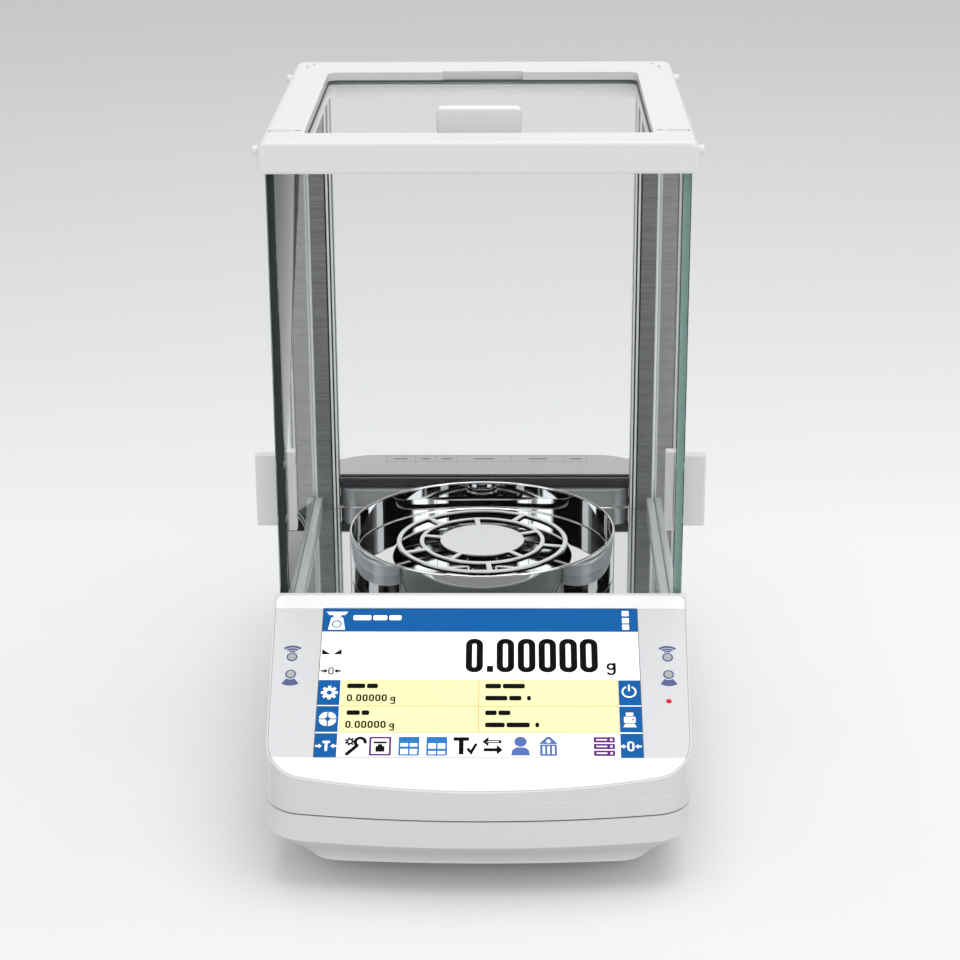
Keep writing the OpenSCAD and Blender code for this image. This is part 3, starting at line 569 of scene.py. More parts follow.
# ------------------------------------------------------------------ tray
def build_tray():
    outer = [(3.2, 0, 38.9), (0.9, 0, 39.0), (0.45, 0, 38.95), (0.15, 0, 38.75), (0, 0, 38.4), (0, 0, 30),
             (0, 0, 26.5), (0.04, 0.0, 26.0), (0.06, 0.012, 25.65), (0.06, 0.03, 25.3), (0, 0.075, 24.6), (0, 0.15, 23.6),
             (0, 0.27, 22.0), (0, 0.41, 20.1), (0, 0.56, 17.9), (0, 0.70, 15.8), (0, 0.80, 14.2), (0, 0.862, 13.25),
             (0, 0.868, 12.9), (0, 0.872, 12.5), (0, 0.885, 12.15), (0, 0.92, 11.85), (0, 0.985, 11.7)]
    rings = [mix_ring(d, w, z, 0) for d, w, z in outer]
    inner = [(3.2, 0.90, 14.9), (3.2, 0.6, 18.6), (3.2, 0.25, 23.2), (3.2, 0.0, 26.4), (3.2, 0, 32)]
    rings += [mix_ring(3.2, w, z, 3.2) for _, w, z in inner]
    bm = bmesh.new()
    vs = [[bm.verts.new(p) for p in r] for r in rings]
    n = len(vs[0])
    k = len(outer)
    chain = list(range(k))
    for a, b in zip(chain, chain[1:]):
        for i in range(n):
            bm.faces.new((vs[a][i], vs[a][(i + 1) % n], vs[b][(i + 1) % n], vs[b][i]))
    bm.faces.new(vs[k - 1])                      # underside
    bm.faces.new(list(reversed(vs[k])))          # inner floor
    chain = list(range(k, len(vs))) + [0]
    for a, b in zip(chain, chain[1:]):
        for i in range(n):
            bm.faces.new((vs[a][i], vs[a][(i + 1) % n], vs[b][(i + 1) % n], vs[b][i]))
    o = temp(bm, "tray_shell")
    cuts = [rod((x, y, 5), (x, y, 20), 7) for x in (-60, 60) for y in (-122, 138)]
    cuts += [rod((x, y, 5), (x, y, 20), 3.8) for x in (-70, 70) for y in (-100, 18, 122)]
    cuts.append(rod((0, 0, 5), (0, 0, 20), 12, 64))
    boolean(o, [temp(merge(*cuts))])
    add = merge(rod((24, 0, 8.8), (24, 0, 12.5), 2.5), rod((24, 0, 7.8), (24, 0, 8.9), 4))
    me = bpy.data.meshes.new("a")
    add.to_mesh(me)
    add.free()
    bm = bmesh.new()
    bm.from_mesh(o.data)
    bm.from_mesh(me)
    bm.to_mesh(o.data)
    bm.free()
    o.name = "tray_shell"
    dress(o, [M["tray_paint"]], "housing", ("bottom_tray",), 28)


def build_gasket():
    """Dark seal set back in the parting line between casing and tray."""
    o, i = [(x, y) for x, y in outline(0.75)], [(x, y) for x, y in outline(2.1)][::-1]
    bm = plate([o, i], 38.9, 39.6, row, 0.1, 1)
    piece("seam_gasket", bm, [M["black_plastic"]], "housing", (), 30, False)


# ------------------------------------------------------------------ casing and film
def film_contour(d, s1, r1):
    """Outline of the film on the slope."""
    c = math.cos(T)
    pts = [(x, (y + 159.76) / c) for x, y in outline(d)]
    top = []
    low = [(x, s) for x, s in pts if s < s1 - r1 and (x != 0 or s < 0)]
    right = [p for p in low if p[0] >= 0]
    left = [p for p in low if p[0] < 0]
    xr = right[-1][0] + (100.6 - d - right[-1][0]) * 0.9
    right.sort(key=lambda p: (p[1] if p[0] > 60 else -100 + p[0]))
    left.sort(key=lambda p: (-p[1] if p[0] < -60 else 100 + p[0]))
    xr = 100.6 - d if s1 > 90 else right[-1][0]
    xr = 98.8 - d + 1.8 * min(1, max(0, ((s1 * c - 159.76) + 150.85) / 74.85))
    for i in range(9):
        a = rad(90 * i / 8)
        top.append((xr - r1 + r1 * math.cos(a), s1 - r1 + r1 * math.sin(a)))
    return right + top + [(-x, s) for x, s in reversed(top)] + left


def build_casing():
    prof = [(2.2, 39.5), (0.6, 39.5), (0.28, 39.58), (0.08, 39.8), (0, 40.2), (0, 44), (0, 48.3), (0.05, 48.6),
            (0.30, 48.75), (0.36, 49.0), (0.36, 51), (0.36, 54), (0.36, 70), (0.36, 125)]
    o = temp(loft([[row(x, y, z) for x, y in outline(d)] for d, z in prof]), "casing_shell")
    boolean(o, [temp(block(-150, 150, -120, 480, -0.25, 160, panel)),
                temp(block(-150, 150, -72.4, 105.2, 90.2, 200)),
                temp(block(-150, 150, 105.0, 200, 93.0, 200))])
    bm = bmesh.new()
    bm.from_mesh(o.data)
    bmesh.ops.remove_doubles(bm, verts=bm.verts[:], dist=2e-6)
    es = [e for e in bm.edges if len(e.link_faces) == 2 and e.is_convex and e.calc_face_angle(0) > rad(24)
          and min(v.co.z for v in e.verts) > 0.0535 and not (abs(e.verts[0].co.z - 0.0902) < 1e-4 and abs(e.verts[1].co.z - 0.0902) < 1e-4)]
    bmesh.ops.bevel(bm, geom=es, offset=0.75 * MM, offset_type="OFFSET", segments=3, profile=0.5, affect="EDGES",
                    clamp_overlap=True)
    bm.to_mesh(o.data)
    bm.free()
    pocket = plate([film_contour(1.05, 97.15, 4.1)], -1.22, 6, panel)
    window = block(-79, 79, -4, 93, -8, 1, panel)
    cav = temp(loft([[row(x, y, z) for x, y in outline(2.5)] for z in (38, 125)]), "cav")
    boolean(cav, [temp(block(-150, 150, -150, 480, -3.7, 200, panel)),
                  temp(block(-150, 150, -75, 205, 87.7, 220)),
                  temp(block(-150, 150, 172, 205, 30, 220))])
    ports = [block(x - 9.2, x + 9.2, 165, 180, 61, 71) for x in (-1.1, 30.1)]
    ports.append(block(-57.2, -40.8, 165, 180, 59, 73))
    ports += [block(x - 6.1, x + 6.1, 165, 180, 60.3, 71.7) for x in (-35.2, -23)]
    ports.append(rod((52.3, 165, 66), (52.3, 180, 66), 5.6))
    sens = [rod(panel(s * 89.5, y, -8) * 1000, panel(s * 89.5, y, 1) * 1000, 2) for s in (-1, 1) for y in (48.3, 58.6)]
    sens.append(rod(panel(89, 32.6, -8) * 1000, panel(89, 32.6, 1) * 1000, 1.05, 24))
    cutters = [temp(pocket), temp(window), cav, temp(block(-62, 62, 174.5, 190, 52, 80)),
               temp(rod((0, 0, 80), (0, 0, 100), 12, 64))]
    boolean(o, cutters)
    for p in ports:
        boolean(o, [temp(p)])
    for p in sens:
        boolean(o, [temp(p)])
    o.name = "casing_shell"
    dress(o, [M["casing_plastic"]], "housing", ("base_casing",), 24)


def build_film():
    holes = [rrect(-76.2, 0, 76.2, 88.9, 0.6, 4, True)]
    holes += [disc(s * 89.5, y, 1.95, 40, True) for s in (-1, 1) for y in (48.3, 58.6)]
    holes.append(disc(89, 32.6, 1.25, 24, True))
    bm = plate([film_contour(1.2, 97.0, 4.0)] + holes, -1.2, 0, panel, 0.2, 2)
    piece("terminal_film", bm, [M["panel_film"]], "housing", ("terminal_panel",), 30)
    # printed rings, waves and the proximity marks beside the screen
    bm = bmesh.new()
    for s in (-1, 1):
        for cy, mid, way in ((58.6, 90, 1), (48.3, 270, -1)):
            plate([disc(s * 89.5, cy, 2.6, 40), disc(s * 89.5, cy, 1.95, 40, True)], -0.1, 0.05, panel, bm=bm)
            if way > 0:
                for r0, r1, w in ((3.0, 3.9, 24), (4.3, 5.3, 32), (5.7, 6.9, 38)):
                    plate([arc_band(s * 89.5, cy, r0, r1, mid - w, mid + w)], -0.1, 0.05, panel, bm=bm)
            else:
                plate([arc_band(s * 89.5, cy, 3.2, 6.9, mid - 36, mid + 36)], -0.1, 0.05, panel, bm=bm)
    piece("sensor_marks", bm, [M["navy"]], "housing", (), 30, False)


# ------------------------------------------------------------------ screen
UI = ["screen_glass", "ui_white", "ui_blue", "ui_yellow", "ui_line", "ui_black", "ui_grey", "ui_purple", "ui_sky", "ui_slate"]


def build_screen():
    bm = plate([rrect(-76.05, 0.15, 76.05, 88.75, 0.5, 4)], -1.2, -0.30, panel, 0.1, 2)

    def ink(contours, colour, level):
        if contours and isinstance(contours[0], tuple):
            contours = [contours]
        plate(contours, -0.36, -0.30 + 0.035 * level, panel, bm=bm, mi=UI.index(colour))

    R = rrect
    ink(R(-75.9, 0.3, 75.9, 88.6, 0.4, 3), "ui_white", 1)
    ink(R(-75.9, 74.3, 75.9, 88.6, 0.3, 3), "ui_blue", 2)
    # scale symbol of the title bar
    ink([(-74.4, 86.6), (-63.9, 86.6), (-65.4, 84.6), (-67.2, 84.6), (-67.2, 83.4), (-71.0, 83.4), (-71.0, 84.6), (-72.9, 84.6)], "ui_white", 3)
    ink([(-71.9, 83.0), (-66.3, 83.0), (-65.0, 75.5), (-73.3, 75.5)][::-1], "ui_white", 3)
    ink([disc(-69.15, 79.0, 2.35, 28), disc(-69.15, 79.0, 1.75, 28, True)], "ui_blue", 4)
    ink([(-69.35, 79.0), (-68.95, 79.0), (-68.2, 80.5), (-68.5, 80.65)], "ui_blue", 4)
    for a, b in ((-61.3, -52.6), (-51.6, -44.9), (-43.9, -38.0)):
        ink(R(a, 81.4, b, 84.4, 0.7, 3), "ui_white", 3)
    for s in (84.0, 79.6, 75.6):
        ink(R(68.5, s, 71.8, s + 3.2, 0.25, 2), "ui_white", 3)
    # balance beam triangles, zero mark
    ink([(-75.3, 63.6), (-75.3, 60.4), (-71.2, 60.4)], "ui_black", 2)
    ink([(-66.0, 63.6), (-70.0, 60.4), (-66.0, 60.4)], "ui_black", 2)

    def zero(x0, s0, x1, s1, t, colour, level, k=6):
        w = x1 - x0
        ink([R(x0, s0, x1, s1, w * 0.46, k), R(x0 + t, s0 + t * 0.95, x1 - t, s1 - t * 0.95, (w - 2 * t) * 0.46, k, True)], colour, level)

    def arrow(x, s, d, size, colour, level):
        t = size * 0.16
        ink([(x, s - t), (x + d * size * 0.5, s - t), (x + d * size * 0.5, s - size * 0.42), (x + d * size, s),
             (x + d * size * 0.5, s + size * 0.42), (x + d * size * 0.5, s + t), (x, s + t)][::(1 if d > 0 else -1)], colour, level)

    arrow(-75.2, 50.4, 1, 3.2, "ui_black", 2)
    arrow(-65.8, 50.4, -1, 3.2, "ui_black", 2)
    zero(-71.8, 48.3, -69.2, 52.6, 0.62, "ui_black", 2)
    # weight reading
    for a, b in ((-6.6, 1.6), (8.1, 16.5), (18.15, 26.6), (28.1, 36.5), (37.95, 46.5), (47.75, 56.3)):
        zero(a, 49.7, b, 70.0, 3.05, "ui_black", 2, 8)
    ink(R(3.5, 49.9, 6.5, 53.6, 0.2, 2), "ui_black", 2)
    ink([disc(62.4, 53.2, 2.15, 20), disc(62.4, 53.2, 1.0, 20, True)], "ui_black", 2)
    ink(R(63.5, 49.9, 64.7, 55.4, 0.2, 2), "ui_black", 2)
    ink(arc_band(62.4, 50.3, 1.15, 2.3, 200, 355, 12), "ui_black", 2)
    # data fields
    ink(R(-65.3, 14.1, 65.5, 45.1, 0.2, 2), "ui_line", 2)
    for a, b in ((-65.0, -0.45), (0.1, 65.2)):
        for c, d in ((14.5, 29.35), (29.9, 44.8)):
            ink(R(a, c, b, d, 0.2, 2), "ui_yellow", 3)

    def words(x, s, h, spans, level=4):
        for a, b in spans:
            ink(R(x + a, s, x + b, s + h, h * 0.3, 3), "ui_black", level)

    words(-62.4, 40.1, 2.7, ((0, 8.6), (9.4, 14.6)))
    words(2.9, 40.1, 2.7, ((0, 7.4), (8.2, 18.6)))
    words(2.9, 33.0, 2.7, ((0, 10.4), (11.2, 17.0), (19.6, 21.4)))
    words(-61.9, 24.4, 2.7, ((0, 6.2), (7.0, 10.6)))
    words(2.9, 24.4, 2.7, ((0, 5.4), (6.2, 11.8)))
    words(2.9, 17.4, 2.7, ((0, 9.2), (10.0, 20.8), (23.4, 25.2)))
    for base in (32.4, 16.9):
        x = -62.2
        for k in range(6):
            zero(x, base, x + 2.5, base + 4.1, 0.8, "ui_black", 4, 4)
            x += 2.45 + (0.55 if k else 1.9)
        ink(R(-59.35, base, -58.7, base + 0.65, 0.1, 2), "ui_black", 4)
        ink([disc(x + 2.2, base + 1.5, 1.2, 16), disc(x + 2.2, base + 1.5, 0.5, 16, True)], "ui_black", 4)
        ink(R(x + 2.75, base - 0.9, x + 3.45, base + 2.7, 0.1, 2), "ui_black", 4)
        ink(R(x + 1.2, base - 1.5, x + 3.3, base - 0.85, 0.2, 2), "ui_black", 4)
    # blue soft keys
    for a, b in ((-75.9, -65.6), (65.6, 75.9)):
        for c, d in ((0.3, 13.9), (14.6, 29.6), (30.2, 45.0)):
            ink(R(a, c, b, d, 0.25, 2), "ui_blue", 2)
    gx, gs = -70.6, 37.5
    pts = []
    for i in range(8):
        for da, r in ((-15, 2.9), (-10, 4.0), (10, 4.0), (15, 2.9)):
            a = rad(45 * i + da)
            pts.append((gx + r * math.cos(a), gs + r * math.sin(a)))
    ink([pts, disc(gx, gs, 1.3, 20, True)], "ui_white", 3)
    px, ps = -70.6, 22.1
    for a in (0, 90, 180, 270):
        off = (0.35 * (1 if a in (0, 270) else -1), 0.35 * (1 if a in (0, 90) else -1))
        ink([(px + off[0], ps + off[1])] + disc(px + off[0], ps + off[1], 3.7, 8, False, a, a + 90), "ui_white", 3)
    ink([disc(px, ps, 1.2, 18)], "ui_blue", 4)
    for cx, kind in ((-70.5, "T"), (70.3, "0")):
        arrow(cx - 5.0, 6.6, 1, 3.0, "ui_white", 3)
        arrow(cx + 5.0, 6.6, -1, 3.0, "ui_white", 3)
        if kind == "T":
            ink(R(cx - 1.7, 8.3, cx + 1.7, 9.5), "ui_white", 3)
            ink(R(cx - 0.6, 3.8, cx + 0.6, 8.3), "ui_white", 3)
        else:
            zero(cx - 1.6, 3.9, cx + 1.6, 9.4, 0.85, "ui_white", 3, 5)
    ink(arc_band(70.5, 38.2, 2.75, 3.5, 115, 425, 36), "ui_white", 3)
    ink(R(70.1, 38.6, 70.9, 42.4, 0.2, 2), "ui_white", 3)
    ink(R(67.6, 20.2, 73.0, 23.6, 0.4, 3), "ui_white", 3)
    ink(R(68.6, 24.1, 72.0, 26.0, 0.2, 2), "ui_white", 3)
    ink([(68.2, 19.6), (72.4, 19.6), (73.4, 17.6), (67.2, 17.6)][::-1], "ui_white", 3)
    ink(R(71.4, 21.4, 72.3, 22.3), "ui_blue", 4)
    # icon row
    ink([(-61.9, 2.2), (-60.6, 1.0), (-55.2, 6.6), (-56.4, 7.9)], "ui_black", 2)
    ink(arc_band(-54.8, 8.9, 1.5, 3.1, -20, 250, 20), "ui_black", 2)
    g2 = []
    for i in range(7):
        for da, r in ((-16, 1.7), (-10, 2.5), (10, 2.5), (16, 1.7)):
            a = rad(360 / 7 * i + da)
            g2.append((-59.6 + r * math.cos(a), 9.2 + r * math.sin(a)))
    ink([g2, disc(-59.6, 9.2, 0.8, 14, True)], "ui_black", 2)
    ink([R(-50.6, 1.2, -40.4, 11.9, 0.6, 3), R(-49.6, 2.2, -41.4, 10.9, 0.3, 3, True)], "ui_purple", 2)
    ink(R(-47.6, 3.4, -43.4, 6.6, 0.4, 3), "ui_black", 2)
    ink(R(-46.5, 6.6, -44.5, 7.7), "ui_black", 2)
    ink(R(-48.6, 8.1, -42.4, 9.2, 0.3, 2), "ui_black", 2)
    for x, flip in ((-37.0, 0), (-24.1, 1)):
        ink(R(x, 1.2, x + 9.6, 11.9, 0.5, 3), "ui_sky", 2)
        a, b = ((2.0, 5.0), (6.4, 8.2)) if not flip else ((2.0, 3.8), (5.2, 8.2))
        for s0, s1 in (a, b):
            ink(R(x + 0.9, s0, x + 4.4, s1), "ui_white", 3)
            ink(R(x + 5.2, s0, x + 8.7, s1), "ui_white", 3)
    ink(R(-11.6, 9.7, -4.4, 11.7), "ui_black", 2)
    ink(R(-9.1, 2.0, -6.9, 9.7), "ui_black", 2)
    ink([(-5.6, 4.8), (-4.5, 5.9), (-3.6, 4.4), (-1.6, 8.4), (-0.4, 7.8), (-3.3, 1.6)][::-1], "ui_black", 2)
    ink([(1.8, 9.2), (4.6, 12.0), (4.6, 10.1), (10.6, 10.1), (10.6, 8.3), (4.6, 8.3), (4.6, 6.4)][::-1], "ui_black", 2)
    ink([(11.2, 4.6), (8.4, 1.8), (8.4, 3.7), (2.4, 3.7), (2.4, 5.5), (8.4, 5.5), (8.4, 7.4)][::-1], "ui_black", 2)
    ink([(3.4, 8.75), (5.0, 9.45), (9.4, 9.45), (9.4, 8.95), (5.0, 8.95)], "ui_white", 3)
    ink(disc(19.4, 9.2, 2.9, 28), "ui_slate", 2)
    ink([(15.0, 1.4), (23.8, 1.4), (23.2, 4.6), (21.4, 6.0), (17.4, 6.0), (15.6, 4.6)], "ui_slate", 2)
    ink([R(28.4, 1.2, 36.2, 7.6, 0.5, 3)], "ui_slate", 2)
    ink([(27.8, 7.9), (36.8, 7.9), (33.0, 12.1), (31.6, 12.1)], "ui_slate", 2)
    for x in (29.6, 31.8, 34.0):
        ink(R(x, 2.2, x + 1.1, 6.6), "ui_white", 3)
    ink([disc(32.3, 9.5, 1.0, 16)], "ui_white", 3)
    for s in (1.2, 5.0, 8.8):
        ink(R(53.2, s, 63.0, s + 3.1, 0.4, 3), "ui_purple", 2)
        ink(R(54.4, s + 1.2, 59.4, s + 1.9), "ui_white", 3)
        ink(R(60.8, s + 1.0, 61.9, s + 2.1), "ui_white", 3)
    piece("touch_screen", bm, [M[k] for k in UI], "housing", ("display_glass",), 30, False)


# ------------------------------------------------------------------ chamber
def build_ring():
    prof = [(67.6, 91.7), (68.0, 91.8), (68.2, 92.1), (68.2, 96.0), (68.2, 114.9), (68.12, 115.45), (67.85, 115.8), (67.55, 115.9),
            (67.25, 115.8), (66.98, 115.45), (66.9, 114.9), (66.9, 101.5), (66.8, 101.1), (66.55, 100.88), (66.2, 100.8),
            (56, 100.8), (47.2, 100.8), (46.5, 100.68), (46.1, 100.4), (46.1, 100.0), (46.5, 99.7), (47.2, 99.6), (65.6, 99.6),
            (66.6, 99.3), (66.9, 98.6), (66.9, 92.1), (67.1, 91.8)]
    piece("draft_ring_turned", lathe(prof, 0, 0, 256), [M["polished_steel"]], "ring", ("draft_ring",), 60)


def build_label():
    """Printed connector field on the rear deck: a frame with blank cells."""
    bm = bmesh.new()
    at = row
    y0, y1, w = 164.7, 175.3, 0.28
    plate([rrect(-58.5, y0, 59.1, y1), rrect(-58.5 + w, y0 + w, 59.1 - w, y1 - w, cw=True)], 92.9, 93.03, at, bm=bm)
    for x in (-41.4, -29.1, -16.9, 14.7, 45.6):
        plate([rrect(x - w / 2, y0 + w, x + w / 2, y1 - w)], 92.9, 93.03, at, bm=bm)
    for x0, x1 in ((-54, -46), (-38, -32.5), (-26, -20.2), (-7, 5), (25, 36), (49, 56)):
        plate([rrect(x0, 169.0, x1, 171.2, 0.5, 3)], 92.9, 93.03, at, bm=bm)
    piece("port_legend", bm, [M["line_grey"]], "housing", (), 30, False)


# ------------------------------------------------------------------ top frame
def frame_ring(y, d):
    """Section of the top frame across, inset by d."""
    pts = []
    x1, z0, z1 = 100.6 - d, 318 + d, 333 - d
    for cx, cz, r, a0 in ((x1, z0, max(1.6 - d, 0.08), -90), (x1, z1, max(4.5 - d, 0.1), 0),
                          (-x1, z1, max(4.5 - d, 0.1), 90), (-x1, z0, max(1.6 - d, 0.08), 180)):
        sx, sz = (1 if cx > 0 else -1), (1 if cz > 325 else -1)
        for i in range(9):
            a = rad(a0 + 90 * i / 8)
            pts.append(row(cx - sx * r + r * math.cos(a), y, cz - sz * r + r * math.sin(a)))
    return pts


def frame_stock():
    R, rings = 1.9, []
    for i in range(6):
        a = rad(90 * i / 5)
        rings.append((-81 + R * (1 - math.sin(a)), R * (1 - math.cos(a))))
    rings = sorted(((-81 + R * (1 - math.cos(a)), R * (1 - math.sin(a))) for a in (rad(90 * i / 5) for i in range(6))))
    back = [(129 - R * (1 - math.cos(a)), R * (1 - math.sin(a))) for a in (rad(90 * i / 5) for i in range(5, -1, -1))]
    rings = [frame_ring(y, d) for y, d in rings] + [frame_ring(y, d) for y, d in back]
    return loft(rings)


def open_contour(g=0.0):
    x, y0, y1, r = 80.6 + g, -60 - g, 96 + g, 5 + g
    pts = [(-x, y0), (x, y0)]
    for cx, a0 in ((x - r, 0), (-x + r, 90)):
        for i in range(9):
            a = rad(a0 + 90 * i / 8)
            pts.append((cx + r * math.cos(a), y1 - r + r * math.sin(a)))
    return pts


def build_frame():
    def cutters():
        c = [plate([open_contour()], 300, 350, row)]
        c.append(block(-86.6, 86.6, -64.2, 200, 324.6, 328.4))
        for s in (-1, 1):
            a, b = sorted((s * 93.6, s * 98.4))
            c.append(block(a, b, -69.1, 200, 300, 327))
        c.append(block(-98.3, 98.3, -72.2, -68.8, 300, 325.2))
        return c

    def bar(name, node, y0, y1, extra):
        o = temp(frame_stock(), name)
        boolean(o, [temp(block(-130, 130, y0, y1, 300, 350))], "INTERSECT")
        for c in cutters() + extra:
            boolean(o, [temp(c)])
        bm = bmesh.new()
        bm.from_mesh(o.data)
        bmesh.ops.remove_doubles(bm, verts=bm.verts[:], dist=2e-6)

        def seen(e):
            zs = [v.co.z for v in e.verts]
            if min(zs) > 0.3325:
                return True
            return abs(zs[0] - 0.318) < 1e-5 and abs(zs[1] - 0.318) < 1e-5
        es = [e for e in bm.edges if len(e.link_faces) == 2 and e.is_convex and e.calc_face_angle(0) > rad(40) and seen(e)]
        bmesh.ops.bevel(bm, geom=es, offset=0.3 * MM, offset_type="OFFSET", segments=2, profile=0.5, affect="EDGES",
                        clamp_overlap=True)
        bm.to_mesh(o.data)
        bm.free()
        o.name = name
        dress(o, [M["frame_plastic"]], "housing", (node,), 30)

    pins = lambda y: [rod((s * 98.6, y, 328), (s * 110, y, 328), 2.5, 32) for s in (-1, 1)]
    marks = []
    bar("frame_front", "top_front_bar", -120, -56, pins(-75.5) + marks)
    bar("frame_rails", "top_side_rails", -55.9, 87.9, [])
    rear = pins(103.5) + [block(-81, 81, 98.8, 102.2, 300, 323.4), block(-21, 21, 90, 99, 327.4, 340)]
    for s in (-1, 1):
        a, b = sorted((s * 92.2, s * 93.4))
        rear.append(block(a, b, 106, 116, 332.2, 340))
        a, b = sorted((s * 89.4, s * 90.4))
        rear.append(block(a, b, 117.5, 123, 332.2, 340))
    bar("frame_rear", "top_rear_bar", 88, 150, rear)


# ------------------------------------------------------------------ glass
def build_glass():
    def pane(node, body_edges, edge_mats, face="clear_glass"):
        src = NODES[node]
        bm = bmesh.new()
        bm.from_mesh(src.data)
        bmesh.ops.remove_doubles(bm, verts=bm.verts[:], dist=3e-6)
        bmesh.ops.dissolve_limit(bm, angle_limit=rad(0.25), verts=bm.verts[:], edges=bm.edges[:])
        lo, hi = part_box(node)
        on = lambda v: sum(min(abs(v.co[k] - lo[k]), abs(v.co[k] - hi[k])) < 1e-6 for k in range(3)) >= 2
        es = [e for e in bm.edges if len(e.link_faces) == 2 and e.calc_face_angle(0) > rad(60) and all(on(v) for v in e.verts)]
        bmesh.ops.bevel(bm, geom=es, offset=0.3 * MM, offset_type="OFFSET", segments=2, profile=0.5, affect="EDGES",
                        clamp_overlap=True)
        bmesh.ops.recalc_face_normals(bm, faces=bm.faces[:])
        for f in bm.faces:
            f.normal_update()
            f.material_index = body_edges(f.normal)
        piece(node + "_pane", bm, [M[face]] + [M[k] for k in edge_mats], src["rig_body"], (node,), 25, False)

    pane("front_glass", lambda n: 1 if abs(n.x) > 0.6 or abs(n.z) > 0.6 else 0, ["edge_pale"], "rear_clear")
    pane("rear_glass", lambda n: 1 if abs(n.x) > 0.6 or abs(n.z) > 0.6 else 0, ["edge_pale"], "rear_clear")
    # door front edges: painted shade on the left, painted light on the right
    pane("left_door_glass", lambda n: 1 if abs(n.x) < 0.3 and n.y < -0.3 else (2 if abs(n.x) < 0.3 else 0), ["edge_painted_shade", "edge_pale"])
    pane("right_door_glass", lambda n: 1 if abs(n.x) < 0.3 and n.y < -0.3 else (2 if abs(n.x) < 0.3 else 0), ["edge_teal_painted_lit", "edge_pale"])
    pane("top_door_glass", lambda n: 1 if abs(n.z) < 0.3 else 0, ["edge_pale"], "rear_clear")


def build_top_seal():
    """Dark strip between the frame and the top glass, a painted shadow standing in for the shade in that gap, and the
    small marks on the frame.
    """
    hole = [(x * 80.3 / 80.6, y if y > 0 else -61.5) for x, y in open_contour(-0.3)]
    # painted shadow: dark strip in the gap above the top glass
    bm = plate([open_contour(2.2), hole[::-1]], 328.02, 328.9, row, 0.15, 1)
    piece("top_glass_gap_shade", bm, [M["gap_shade_dark"]], "housing", (), 30, False)
    # a dark line at the joint of front bar and rails, and painted shade of a shallow step and a small notch behind it
    bm = bmesh.new()
    for s in (-1, 1):
        for y in (-55.95, -53.2):
            a, b = sorted((s * 86.5, s * 97.5))
            plate([rrect(a, y - 0.22, b, y + 0.22)], 332.6, 333.03, row, bm=bm)
        tri = [(s * 81.6, -55.0), (s * 86.0, -55.0), (s * 83.8, -53.0)]
        plate([tri if s > 0 else tri[::-1]], 332.6, 333.03, row, bm=bm)
    piece("frame_marks", bm, [M["line_grey"]], "housing", (), 30, False)


build_tray()
build_top_seal()
build_gasket()
build_casing()
build_film()
build_screen()
build_ring()
build_label()
build_frame()
build_glass()
soften("weighing_pan", 0.3, "polished_steel", mats=[M["pan_steel"]], angle=40)
# chamber floor; the raised rear sill takes the satin grey, whose darkness is painted shade for what it mirrors
soften("chamber_floor", 0.9, "polished_steel", mats=[M["floor_steel"], M["sill_satin_painted_shade"]], angle=40,
       pick=lambda e: min(v.co.z for v in e.verts) > 0.0911,
       paint=lambda c: 1 if c.z > 91.4 and c.y > 90 else 0)
# rear columns: near-white faces and strips are painted highlight and reflection, the dark strips beside them painted
# shade
soften("rear_columns", 0.18, "column_aluminium", segs=2, angle=50,
       mats=[M["column_aluminium"], M["column_painted_highlight"], M["column_painted_shade"]],
       paint=lambda c: 0 if c.y > 96 else (1 if abs(c.x) < 81.8 or abs(c.x) > 92.7 or 82.65 < abs(c.x) < 83.8 else
                                           (2 if 81.8 <= abs(c.x) <= 82.65 or 83.8 <= abs(c.x) <= 84.65 else 0)))
soften("rear_glass_holder", 0.5, "graphite_holder", angle=50)
soften("door_tracks", 0.3, "track_aluminium", segs=2, angle=50)
for s in ("left", "right"):
    soften(s + "_outer_grip", 1.5, "grip_plastic", segs=4, angle=50)
    soften(s + "_inner_grip", 0.5, "grip_plastic", angle=50)
both = lambda q: lambda x, z, n: row(x, -38 - q * n, z)
# top grip in the lighter copy of the grip plastic, its extra brightness painted light
grip = merge(plate([rrect(-20, 328.1, 20, 341, 2.6, 8)], 0, 3, both(1), 1.3, 4),
             plate([rrect(-20, 328.1, 20, 341, 2.6, 8)], 0, 3, both(-1), 1.3, 4))
bmesh.ops.remove_doubles(grip, verts=grip.verts[:], dist=2e-6)
inner = [f for f in grip.faces if all(abs(v.co.y + 0.038) < 1e-6 for v in f.verts)]
bmesh.ops.delete(grip, geom=inner, context="FACES_ONLY")
piece("top_grip_body", grip, [M["grip_painted_lit"]], NODES["top_grip"]["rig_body"], ("top_grip",), 30)
soften("frame_pins", 0.3, "frame_plastic", segs=2, angle=40)
for n in NODES:
    if n.startswith("foot_pad"):
        soften(n, 0.5, "foot_rubber", segs=2, angle=25)
    elif n.startswith("foot_screw"):
        soften(n, 0.35, "wheel_plastic", segs=2, angle=35)

slots = {r["node"]: r["material_slot"] for r in frame["record"]["subparts"]}
for n, o in NODES.items():
    if o.hide_render:
        continue
    o.data.materials.clear()
    o.data.materials.append(M[slots[n]])


# ------------------------------------------------------------------ stage, light, camera
def stage_mat(name, base, emit=0.0):
    m = bpy.data.materials.new(name)
    m.use_nodes = True
    p = m.node_tree.nodes["Principled BSDF"]
    p.inputs["Base Color"].default_value = (*base, 1)
    p.inputs["Roughness"].default_value = 0.9
    p.inputs["Specular IOR Level"].default_value = 0.1
    if emit:
        p.inputs["Emission Color"].default_value = (*base, 1)
        p.inputs["Emission Strength"].default_value = emit
    return m


def quad(name, pts, m):
    me = bpy.data.meshes.new(name)
    me.from_pydata([Vector(p) for p in pts], [], [tuple(range(len(pts)))])
    o = bpy.data.objects.new(name, me)
    scene.collection.objects.link(o)
    me.materials.append(m)
    return o


